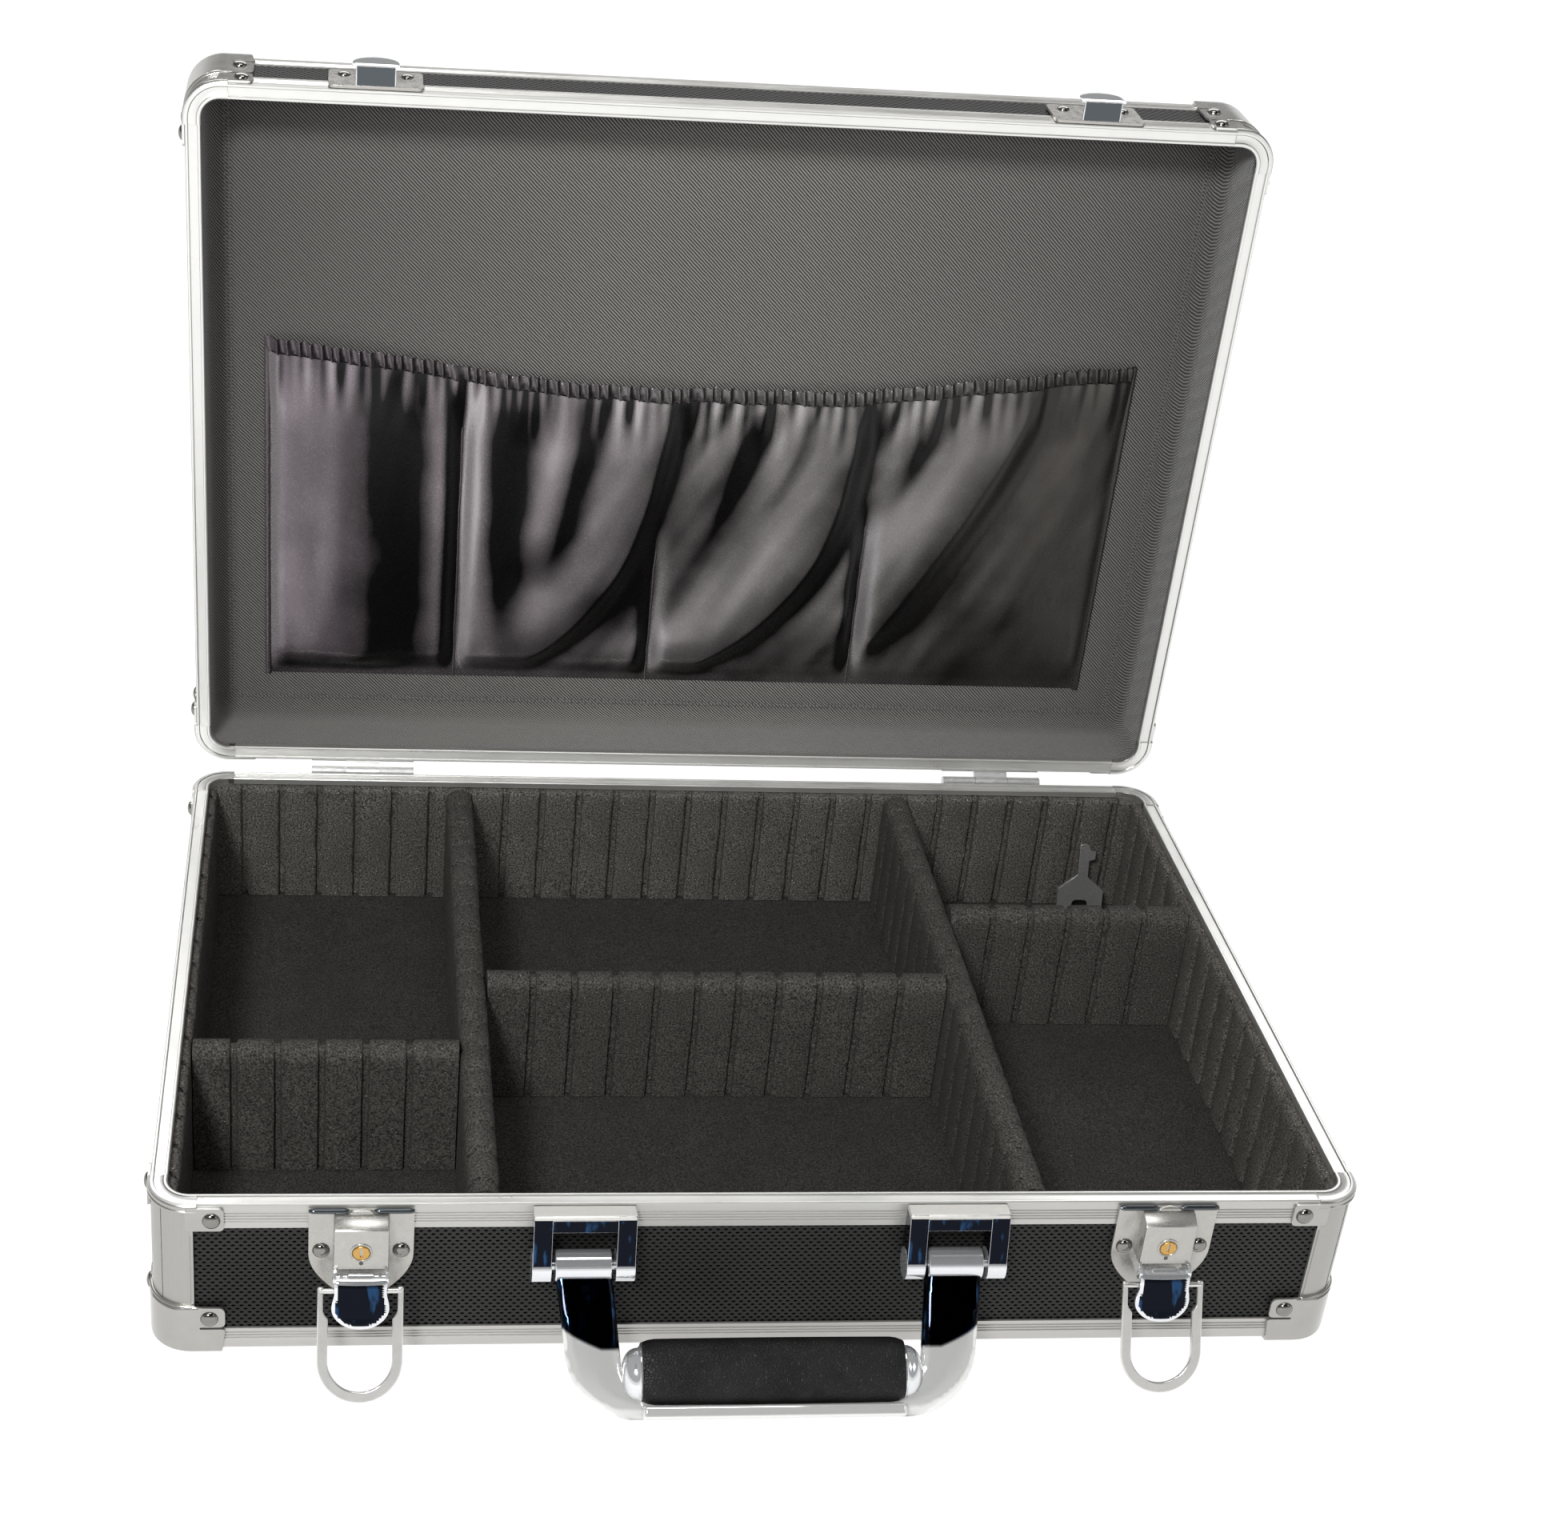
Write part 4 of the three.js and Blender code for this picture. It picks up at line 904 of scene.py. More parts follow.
def divider(node, axis, first_groove):
    """A folded foam strip along an axis, round on top, cut across at an even pitch."""
    low, high = box_mm(node)
    k = 0 if axis == "X" else 1
    r = (high[1 - k] - low[1 - k]) / 2
    mid = (high[1 - k] + low[1 - k]) / 2
    z0, z1 = low[2], high[2]
    rings = []
    for s, cut in groove_stations(low[k] + 0.15, high[k] - 0.15, first_groove):
        half = r - 0.15 - cut * 2.7
        top = z1 - 0.15 - cut * 1.5
        lean = wavy(0.5, s * 0.012, mid * 0.1)
        levels = np.linspace(z0, top - half, 9)

        def side(sign, shift):
            ring = []
            for z in levels[::sign]:
                torn = wavy(0.28, s * 0.3, z * 0.4, mid + (shift and 9)) if 0.05 < cut < 0.95 else 0
                ring.append((s + torn, sign * (half + wavy(0.18, s * 0.05, z * 0.06, mid + shift)), z))
            return ring
        ring = side(1, 0)
        for a in np.radians(np.linspace(12, 168, 14)):
            ring.append((s, half * math.cos(a), top - half + half * math.sin(a) + wavy(0.15, s * 0.06, mid)))
        ring += side(-1, 7)
        turned = []
        for along, across, z in ring:
            across = mid + across + lean * (z - z0) / (z1 - z0)
            turned.append((along, across, z) if axis == "X" else (across, along, z))
        rings.append(turned)
    foam_piece(f"{node}_foam", Shape().loft(rings), DIVIDER_FOAM_PAINTED_SHADE, node, node)


def build_dividers():
    for side in SIDES:
        divider(f"divider_long_{side}", "Y", GROOVE_START)
    for side in ("left", "middle", "right"):
        divider(f"divider_{side}", "X", GROOVE_START + 9)


def build_floor_foam():
    """Three sheets side by side, with seams under the long dividers."""
    low, high = box_mm("floor_foam")
    seams = sorted((box_mm("divider_long_left")[0][0] + 3, box_mm("divider_long_right")[1][0] - 3))
    edges = [low[0] + 0.1, *seams, high[0] - 0.1]
    gap = 0.3
    floor = Shape()
    for x0, x1 in zip(edges, edges[1:]):
        xs = [x0 + gap, *np.arange(x0 + gap, x1 - gap, 6.0)[1:-1], x1 - gap]
        rings = []
        for y in np.linspace(low[1] + gap, high[1] - gap, 46):
            top = [(x, y, high[2] - 0.15 + wavy(0.14, x * 0.02, y * 0.02)) for x in xs]
            rings.append(top + [(x1 - gap, y, low[2]), (x0 + gap, y, low[2])])
        floor.loft(rings)
    foam_piece("floor_foam_sheets", floor, FLOOR_FOAM_PAINTED_SHADE, "base", "floor_foam")


# ---- Lid lining and pocket, drawn with the lid closed ----
def lid_point(x, u, h):
    """u is the distance from the hinge side, and h the depth below the lid's rim."""
    return x, D - u, PARTING + h


def loop_at(inset, h):
    """A round-cornered loop all round the lid."""
    r = max(CORNER - inset, 2.5)
    return [(x, y, PARTING + h) for x, y in rounded(inset - W, W - inset, inset - D, D - inset, r, 8)]


LINING_LOW, LINING_HIGH = closed_box_mm("lid_lining")
LINING_BACK = LINING_HIGH[2] - PARTING
LINING_FLOOR = LINING_BACK - 1.4
SEAM_INSET = 15.2
STITCH_PITCH, STITCH_HALF = 3.1, 1.05


def stitch(centre, sx, sy, hx, hy):
    """Rings of one stitch, a spindle that dips into the cloth at both ends, along one side of a loop."""
    rings = []
    for t in (-1, -0.6, 0, 0.6, 1):
        fat = 0.27 * math.sqrt(1 - (t * 0.92) ** 2)
        c = centre + t * STITCH_HALF
        ring = []
        for a in turns(6):
            off, h = fat * math.cos(a), LINING_FLOOR - 0.35 + 0.3 * t * t + fat * math.sin(a)
            p = (c, sy * hy + off) if sy else (sx * hx + off, c)
            ring.append((*p, PARTING + h))
        rings.append(ring)
    return rings


def build_lining():
    """The cloth tray, with a pressed double seam round its floor, and the stitches along both its lines."""
    outer = LINING_LOW[0] + W
    mouth = LINING_LOW[2] - PARTING
    f = LINING_FLOOR
    path = [(outer, LINING_BACK), (outer, mouth), (outer + 0.3, mouth), (outer + 1.4, mouth + 0.3),
            (outer + 1.5, mouth + 1.5), (outer + 1.8, f - 9), (outer + 2.4, f - 4.5), (outer + 3.9, f - 1.7),
            (outer + 6.6, f - 0.4), (outer + 9.4, f - 0.1), (SEAM_INSET - 1.3, f - 0.35),
            (SEAM_INSET - 0.75, f + 0.12), (SEAM_INSET - 0.2, f - 0.5), (SEAM_INSET + 0.6, f - 0.55),
            (SEAM_INSET + 1.1, f + 0.12), (SEAM_INSET + 1.6, f - 0.3), (SEAM_INSET + 5, f - 0.1),
            (SEAM_INSET + 40, f), (D - 8, f)]
    tray = Shape().loft([loop_at(i, h) for i, h in path])
    piece("lid_lining_cloth", tray, TWILL, "lid", ["lid_lining"], "lining_cloth", LID, 60)
    stitches = Shape()
    for inset in (SEAM_INSET - 0.75, SEAM_INSET + 1.1):
        hx, hy = W - inset, D - inset
        for sx, sy, length in ((0, -1, hx), (0, 1, hx), (-1, 0, hy), (1, 0, hy)):
            for centre in np.arange(-length + 3, length - 3, STITCH_PITCH):
                stitches.loft(stitch(centre, sx, sy, hx, hy))
    piece("lid_lining_stitches", stitches, THREAD, "lid", (), "lining_cloth", LID, 70)


POCKET_LOW, POCKET_HIGH = closed_box_mm("lid_pocket")
POCKET_HALF = POCKET_HIGH[0]
POCKET_BOTTOM, POCKET_TOP = D - POCKET_HIGH[1], D - POCKET_LOW[1]
POCKET_BACK = LINING_FLOOR - 0.35
POCKET_FRONT = POCKET_LOW[2] - PARTING
HEM_BAND = 7.0
# The seams that divide the pocket: their place, and their height as a share of the pocket's
SEAMS = ((-110.0, 1.0), (-17.0, 0.47), (82.0, 0.57))

# A fold is a ridge that leans one way: its line from hem to bottom as (x, share of the height), then
# its height and its width to the left and right of the line, in millimetres.
FOLDS = (
    (((-157, 1.0), (-153, 0.6), (-155, 0.0)), 9.5, 32, 18),
    (((-116, 0.95), (-115, 0.5), (-115, 0.1)), 3.6, 7, 3),
    (((-96, 0.95), (-96, 0.5), (-90, 0.12)), 6.5, 10, 13),
    (((-56, 1.0), (-60, 0.75), (-69, 0.42)), 6.0, 11, 10),
    (((-14, 1.0), (-23, 0.68), (-38, 0.38), (-76, 0.08)), 10.5, 23, 5.5),
    (((22, 0.98), (13, 0.74), (5, 0.5)), 6.0, 14, 9),
    (((50, 1.0), (43, 0.82), (35, 0.66)), 3.6, 7, 5),
    (((72, 0.96), (65, 0.62), (44, 0.32), (0, 0.06)), 10.5, 24, 6),
    (((106, 1.0), (99, 0.84), (92, 0.66)), 5.0, 9, 9),
    (((152, 1.0), (132, 0.66), (104, 0.34), (88, 0.16)), 10.0, 24, 8),
    (((186, 1.0), (174, 0.6), (150, 0.2)), 2.0, 12, 9),
)


def smooth(t):
    """An eased step from 0 to 1."""
    t = np.clip(t, 0, 1)
    return t * t * (3 - 2 * t)


def hem_height(x):
    """How far the hem is from the hinge side, at a place along it."""
    ends = np.abs(x / POCKET_HALF)
    return POCKET_TOP - 1.0 - 14.5 * (1 - smooth((ends - 0.25) / 0.75)) - 2.0 * (1 - ends)


def pocket_bulge(x, share):
    """How far the pocket's cloth stands off the lining. x and share are arrays."""
    body = 1.0 * np.sin(np.pi * np.clip(share, 0, 1) ** 0.7) + 0.8
    for line, height, left, right in FOLDS:
        shares, places = np.array([p[1] for p in line][::-1]), np.array([p[0] for p in line][::-1])
        fine_share = np.linspace(shares[0], shares[-1], 40)
        coeffs = np.polyfit(shares, places, len(line) - 1)
        centre = np.interp(share, fine_share, np.polyval(coeffs, fine_share))
        slope = np.gradient(np.polyval(coeffs, fine_share), fine_share) / (POCKET_TOP - POCKET_BOTTOM)
        tilt = np.sqrt(1 + np.interp(share, fine_share, slope) ** 2)
        away = (x - centre) / tilt
        profile = np.where(away < 0, np.exp(-np.abs(away / left) ** 2.0),
                           np.exp(-np.abs(away / right) ** 1.6))
        length = shares[-1] - shares[0]
        ease = 0.22 if length > 0.5 else 1.3 * length
        fade = smooth((share - shares[0] + 0.10) / ease) * smooth((shares[-1] + 0.12 - share) / 0.14)
        body = np.maximum(body, 0.8) + height * profile * fade * (1 - 0.5 * np.clip(body - 2, 0, 6) / 6)
    for place, top in SEAMS:
        held = 1 - smooth((share - top + 0.03) / 0.16)
        body *= 1 - held * np.exp(-((x - place) / 4.2) ** 2)
    edge = smooth((POCKET_HALF - np.abs(x)) / 10) ** 0.7
    foot = smooth(share / 0.10) ** 0.8
    return body * np.minimum(edge, 1) * foot


def soft_limit(depth, limit):
    """Keeps a bulge under the limit without a corner in it."""
    return limit * np.tanh(depth / limit * 1.05)


def ripple(x, share, x_scale, share_scale, seed):
    """Smooth noise over arrays of places on the pocket."""
    values = [wavy(1, float(a) * x_scale, float(b) * share_scale, seed)
              for a, b in zip(np.ravel(x), np.ravel(share))]
    return np.array(values).reshape(np.shape(x))


def pocket_depth(x, share):
    """The cloth's distance from the lining, with its small creases and the gathers under the hem."""
    room = POCKET_BACK - POCKET_FRONT - 1.0
    ruffle = smooth((share - 0.80) / 0.2)
    slid = x - 76 * share * smooth((x + 115) / 70)
    small = ripple(slid, share, 0.10, 2.6, 3.0)
    gather = ripple(x, share, 0.20, 3.0, 8.0)
    bulge = pocket_bulge(x, share)
    bulge = bulge * (1 - 0.45 * ruffle) + 2.6 * ruffle
    bulge = bulge + 0.45 * small * smooth(share / 0.15) + 2.1 * gather * ruffle
    edge = smooth((POCKET_HALF - np.abs(x)) / 6)
    foot = smooth(share / 0.05)
    return 0.15 + soft_limit(np.maximum(bulge, 0.1), room) * edge * foot


def grid_sheet(front, thickness):
    """A sheet of cloth through a grid of points, given its thickness along Z."""
    n, m = len(front), len(front[0])
    verts = [p for row in front for p in row] + [(x, y, z + thickness) for row in front for x, y, z in row]
    count = n * m
    faces = []
    for i in range(n - 1):
        for j in range(m - 1):
            a, b, c, d = i * m + j, (i + 1) * m + j, (i + 1) * m + j + 1, i * m + j + 1
            faces += [(a, b, c, d), (d + count, c + count, b + count, a + count)]
    edge = [i * m + j for i, j in grid_border(n, m)]
    faces += [(a, b, b + count, a + count) for a, b in zip(edge, edge[1:] + edge[:1])]
    return Shape().add(verts, faces)


def pocket_cloth():
    """The pocket from its sewn foot to the hem."""
    xs = np.linspace(-POCKET_HALF + 0.4, POCKET_HALF - 0.4, int(2 * POCKET_HALF / 1.15))
    shares = np.linspace(0, 1, int((POCKET_TOP - POCKET_BOTTOM) / 1.3))
    X, S = np.meshgrid(xs, shares, indexing="ij")
    foot = POCKET_BOTTOM + 0.6
    U = foot + S * (hem_height(X) - HEM_BAND - foot)
    H = POCKET_BACK - pocket_depth(X, S)
    front = [[lid_point(X[i, j], U[i, j], H[i, j]) for j in range(X.shape[1])] for i in range(X.shape[0])]
    return grid_sheet(front, 0.35)


def pocket_hem():
    """An elastic band gathered into small ruffles."""
    xs = np.linspace(-POCKET_HALF + 0.4, POCKET_HALF - 0.4, 1100)
    waves = np.cumsum(0.75 + np.array([wavy(0.5, x * 0.11, 0) for x in xs]))
    phase = waves / waves[-1] * math.tau * 86
    end = np.interp(xs, [-POCKET_HALF, -POCKET_HALF + 6, POCKET_HALF - 6, POCKET_HALF], [0.15, 1, 1, 0.15])
    base = pocket_depth(xs, np.ones_like(xs))
    rows = []
    for i, x in enumerate(xs):
        row = []
        for v in np.linspace(-0.9, 1, 15):
            swell = 1.0 - 0.55 * v * v
            fold = (0.75 + wavy(0.3, x * 0.3, v, 1.0)) * math.sin(phase[i] + 0.7 * v)
            h = POCKET_BACK - base[i] - end[i] * (1.1 * swell + 1.35 * fold)
            edge = wavy(0.8, x * 0.4, 0.0, 4.0) * (v > 0.6)
            u = hem_height(x) - HEM_BAND / 2 + v * HEM_BAND / 2 + edge
            row.append(lid_point(x + 0.35 * math.cos(phase[i]) * end[i], u, max(h, POCKET_FRONT + 0.2)))
        rows.append(row)
    return grid_sheet(rows, 0.5)


def pocket_bindings():
    """Narrow bindings along both sides, and a cord of stitching along each seam."""
    shape = Shape()
    for side in (-1, 1):
        rings = []
        for u in np.linspace(POCKET_BOTTOM, POCKET_TOP - 1.5, 90):
            x = side * (POCKET_HALF - 1.7 + wavy(0.25, u * 0.25, side))
            wide = 1.5 + wavy(0.2, u * 0.5, side, 2)
            rings.append([lid_point(x + wide * math.cos(a), u, POCKET_BACK - 0.25 - 0.75 * math.sin(a))
                          for a in turns(10)])
        shape.loft(rings)
    for place, share in SEAMS:
        rings = []
        tall = (POCKET_TOP - HEM_BAND - 14 - POCKET_BOTTOM) * share
        for u in np.linspace(POCKET_BOTTOM + 0.5, POCKET_BOTTOM + tall, 60):
            x = place + wavy(0.5, u * 0.1, place)
            rings.append([lid_point(x + 0.45 * math.cos(a), u, POCKET_BACK - 0.35 - 0.35 * math.sin(a))
                          for a in turns(6)])
        shape.loft(rings)
    return shape


def build_pocket():
    cloth = piece("lid_pocket_cloth", pocket_cloth(), SATIN, "lid", ["lid_pocket"], "satin_cloth", LID, 70)
    hem = piece("lid_pocket_hem", pocket_hem(), HEM_SATIN, "lid", (), "satin_cloth", LID, 80)
    trim = piece("lid_pocket_bindings", pocket_bindings(), HEM_SATIN, "lid", (), "satin_cloth", LID, 70)


# ---- Latches ----
def prism(shape, outline_points, axis, a, b, holes=()):
    """A flat outline pushed along an axis from a to b, with holes through it."""
    def place(p, q, off):
        v = a + off
        return {"X": (v, p, q), "Y": (p, v, q), "Z": (p, q, v)}[axis]
    return shape.sheet([outline_points, *holes], place, b - a)


def rod(shape, start, end, radius, steps=16, dome_end=0.0):
    """A round pin with slightly domed ends between two points."""
    start, end = Vector(start), Vector(end)
    length = (end - start).length
    matrix = Matrix.Translation(start) @ (end - start).to_track_quat("Z", "Y").to_matrix().to_4x4()
    e = min(radius * 0.3, 0.4)
    profile = [(0, -dome_end), (radius - e, 0), (radius, e), (radius, length - e), (radius - e, length),
               (0, length + dome_end)]
    return shape.lathe(profile, matrix, steps)


HOUSING_FRONT = -D - 8.4


def both_sides(shape, outline, inner, outer):
    """The outline as two cheeks, mirrored about x = 0, between two distances from it."""
    for side in (-1, 1):
        prism(shape, outline, "X", *sorted((side * inner, side * outer)))
    return shape


def revolved(profile, y, z, steps):
    """A closed (radius, depth) profile turned about an axis along Y."""
    return Shape().loft([[(q * math.cos(a), y + d, z + q * math.sin(a)) for q, d in profile]
                         for a in turns(steps)], closed=True)


def plate_place(x, z, off):
    """The plate's front: flat, with a concave dent beside each rivet."""
    dent = 0.0
    for side in (-1, 1):
        dent += 0.55 * math.exp(-(((x - side * 13.6) / 3.0) ** 2 + ((z - 58.5) / 4.5) ** 2))
    return Vector((x, PLATE_FRONT + off + (dent if off == 0 else 0), z))


def latch_plate():
    """The plate behind the lock, with its wings drawn in towards a narrow foot."""
    wide, tip, shoulder = 19.3, 10.3, 47
    foot = [((wide - tip) * t ** 2 - wide, shoulder - 16.5 * t) for t in np.linspace(0.15, 1, 8)]
    half = [(-wide, 67.4), (-wide, shoulder), *foot]
    return Shape().sheet([half + [(-x, z) for x, z in reversed(half)]], plate_place, 1.25, 1.6)


def latch_roll():
    """The rolled top edge, broken at the middle by an oval lip."""
    shape = Shape()
    for x0, x1 in ((-19.3, -4.6), (4.6, 19.3)):
        rings = []
        for x in np.linspace(x0, x1, 14):
            t = min(abs(x - x0), abs(x - x1))
            r = 1.05 * min(1, 0.55 + t * 0.35)
            rings.append([(x, -D - 1.75 + r * 1.15 * math.cos(a), 67.2 + r * math.sin(a))
                          for a in turns(14)])
        shape.loft(rings)
    return shape


def latch_lip():
    """The oval lip in the gap of the roll."""
    rings = []
    for t in np.linspace(0, 1, 10):
        a = t * math.pi
        half = 4.4 * math.sin(max(a, 0.16)) ** 0.5 if t < 1 else 0.5
        z = 65.4 + 2.6 * t
        y = -D - 2.2 - 0.8 * math.sin(a)
        rings.append([(-half, y, z), (half, y, z), (half, y + 0.9, z), (-half, y + 0.9, z)])
    return Shape().loft(rings)


def housing_shape():
    """The lock's housing: a sloping top and a flat front with rounded edges."""
    tip, y0 = 10.15, HOUSING_FRONT
    cy, cz = -D - 3.5, 54
    section = [(-D - 1.4, 65.8), (-D - 3.2, 65.6), (y0 + 0.9, 63.6), (y0 + 0.15, 62.9), (y0, 61.9),
               (y0, 45.4), (y0 + 0.5, 44.8), (y0 + 1.2, 44.6), (-D - 1.4, 44.6)]
    ends = [(tip - 0.7, 0.0), (tip - 0.25, 0.15), (tip, 0.6)]  # x, and how much smaller the section is there
    rings = []
    for x, shrink in [(-x, shrink) for x, shrink in reversed(ends)] + ends:
        rings.append([(x, y + (shrink if y < cy else 0), z - math.copysign(shrink, z - cz))
                      for y, z in section])
    return Shape().loft(rings)


def latch_ears():
    """The ears under the housing that carry the lever's pivot."""
    y0 = HOUSING_FRONT
    outline = [(y0 + 3, 45.4), (y0 - 1.8, 45.2), *arc(y0 - 0.8, 42.0, 2.6, 150, 300, 10), (-D - 2.2, 40.6),
               (-D - 1.3, 41.2), (-D - 1.3, 45.6)]
    return both_sides(Shape(), outline, 9.0, 10.2)


def plug_shape():
    """The brass plug: a bevelled face with a key slot and a ring round it."""
    y = -D - 9.1
    r = 3.15
    slot = rounded(-0.48, 0.48, PLUG_Z - 2.15, PLUG_Z + 2.15, 0.45, 4)
    shape = prism(Shape(), arc(0, PLUG_Z, r - 0.35, 0, 352, 30), "Y", y, y + 0.9, [slot])
    ring = [(r + 0.02, 0.3), (r + 0.02, 5.0), (r - 0.36, 5.0), (r - 0.36, 0.02), (r - 0.2, -0.08),
            (r - 0.06, 0.02)]
    bezel = revolved(ring, y, PLUG_Z, 36)
    shape.add(bezel.verts, bezel.faces)
    return prism(shape, arc(0, PLUG_Z, r - 0.3, 0, 352, 30), "Y", y + 2.6, y + 4.2)


def lock_collar():
    """The housing's round collar under the plug's edge."""
    profile = [(4.15, 0.4), (4.15, 0.12), (3.95, -0.1), (3.5, -0.12), (3.3, 0.1), (3.3, 0.4)]
    return revolved(profile, -D - 8.75, PLUG_Z, 40)


def paddle_outline():
    """The paddle's outline as (x, height under the pivot)."""
    def half_width(drop):
        return float(9.9 - 0.35 * math.exp(-((drop + 3.4) / 2.8) ** 2) + 0.7 * smooth((-drop - 5.0) / 5.5))

    drops = np.linspace(0.9, -11.0, 18)
    edge = half_width(-11.0)
    low = [(edge * math.cos(a), -11 + 7.2 * math.sin(a)) for a in np.radians(np.linspace(184, 356, 22))]
    return [(-half_width(d), d) for d in drops] + low + [(half_width(d), d) for d in drops[::-1]]


def bright_rim(made, outline, width):
    """Gives the paddle's faces near its outline the polished chrome of a bevelled rim."""
    made.data.materials.append(MIRROR_CHROME)
    for face in made.data.polygons:
        x, height = face.center.x / MM, face.center.z / MM - LEVER_Z
        face.material_index = int(clearance(x, height, [outline]) < width)


# The paddle's section down its middle, as (height over the pivot, distance behind it)
PADDLE_SECTION = ((1.3, -1.3), (0.4, -3.4), (-2.2, -4.6), (-5.5, -5.1), (-9.0, -5.35), (-12.5, -6.0),
                  (-15.5, -7.1), (-17.8, -8.1))


def lever_shape():
    """The lever's paddle: narrow at the top and flared below, with a raised bevelled rim."""
    heights, outs = zip(*reversed(PADDLE_SECTION))
    outline = paddle_outline()

    def place(x, drop, off):
        rim = min(1.0, clearance(x, drop, [outline]) / 1.3)
        raised = 0.55 * (1 - rim ** 2)
        bow = 0.5 * (x / 10) ** 2
        out = float(np.interp(drop, heights, outs)) + (raised * 0.6 if off == 0 else 0) + bow
        return Vector((x, LEVER_Y + out + off * 1.25, LEVER_Z + drop))
    return Shape().sheet([outline], place, 1.0, 0.9)


def lever_works():
    """The lever's pivot with its knuckle, and the cheeks that hold the bail's pin."""
    y, z = LEVER_Y, LEVER_Z
    shape = rod(Shape(), (-10.3, y, z), (10.3, y, z), 1.15, 14, 0.25)
    rod(shape, (-4.9, y, z), (4.9, y, z), 1.9, 18)
    cheek = [(y + 1.2, z + 1.2), (y - 1.2, z + 1.4), (y - 3.9, z - 3), (y - 3.9, z - 7.2),
             (y - 0.4, z - 7.2), (y + 1.6, z - 1)]
    return both_sides(shape, cheek, 6.5, 7.7)


def bail_shape():
    """The bail in its own frame, hanging straight down from its pin: thin arms, a shoulder and a flat U."""
    outer, strip, length, thick = 15.8, 4.0, 41.9, 1.8
    centre = outer - length
    shoulder = [(outer - 2.1, 1.5), (outer - 2.1, -7.4), (outer - 2.6, -8.6), (outer - strip, -10.6)]
    outline = [(-outer, 1.5), (-outer, -8), *arc(0, centre, outer, 180, 360, 28), (outer, -8), (outer, 1.5),
               *shoulder, *arc(0, centre, outer - strip, 360, 180, 28),
               *((-x, z) for x, z in reversed(shoulder))]
    return prism(Shape(), outline, "Y", -thick / 2, thick / 2)


def catch_parts():
    """The lid's catch: a plate, a round-ended tongue and the web between them. The web is narrower than
    the bail, which passes it on both sides when it is latched."""
    z, out, half, web_half = PARTING, -D - 10.4, 19.4, 8.2
    plate = prism(Shape(), rounded(-half, half, z + 0.7, z + 22.8, 2.2), "Y", PLATE_FRONT, -D - 0.25)
    outline = [(-9.5, z + 1.0), (9.5, z + 1.0), (9.5, z + 6), *arc(0, z + 6, 9.5, 0, 180, 22, 6.8),
               (-9.5, z + 6)]

    def place(x, height, off):
        rim = min(1.0, clearance(x, height, [outline]) / 1.2)
        dish = 0.35 * (1 - rim) ** 2 if off == 0 else 0
        return Vector((x, out + dish + off, height))
    tongue = Shape().sheet([outline], place, 1.1, 0.9)
    web = [(out + 0.2, z + 1.0), (-D - 1.2, z + 1.0), (-D - 1.2, z + 1.9), (out + 1.0, z + 1.9)]
    return plate, tongue, prism(Shape(), web, "X", -web_half, web_half)


def latch_rivets():
    """The rivet heads of the latch's plate and of the catch's."""
    latch, catch = Shape(), Shape()
    for side in (-1, 1):
        dome(latch, facing((side * 14.7, PLATE_FRONT, 48.6), (0, -1, 0)), 3.3, 1.9)
        dome(catch, facing((side * 13, PLATE_FRONT, PARTING + 16), (0, -1, 0)), 2.9, 1.5)
    return latch, catch


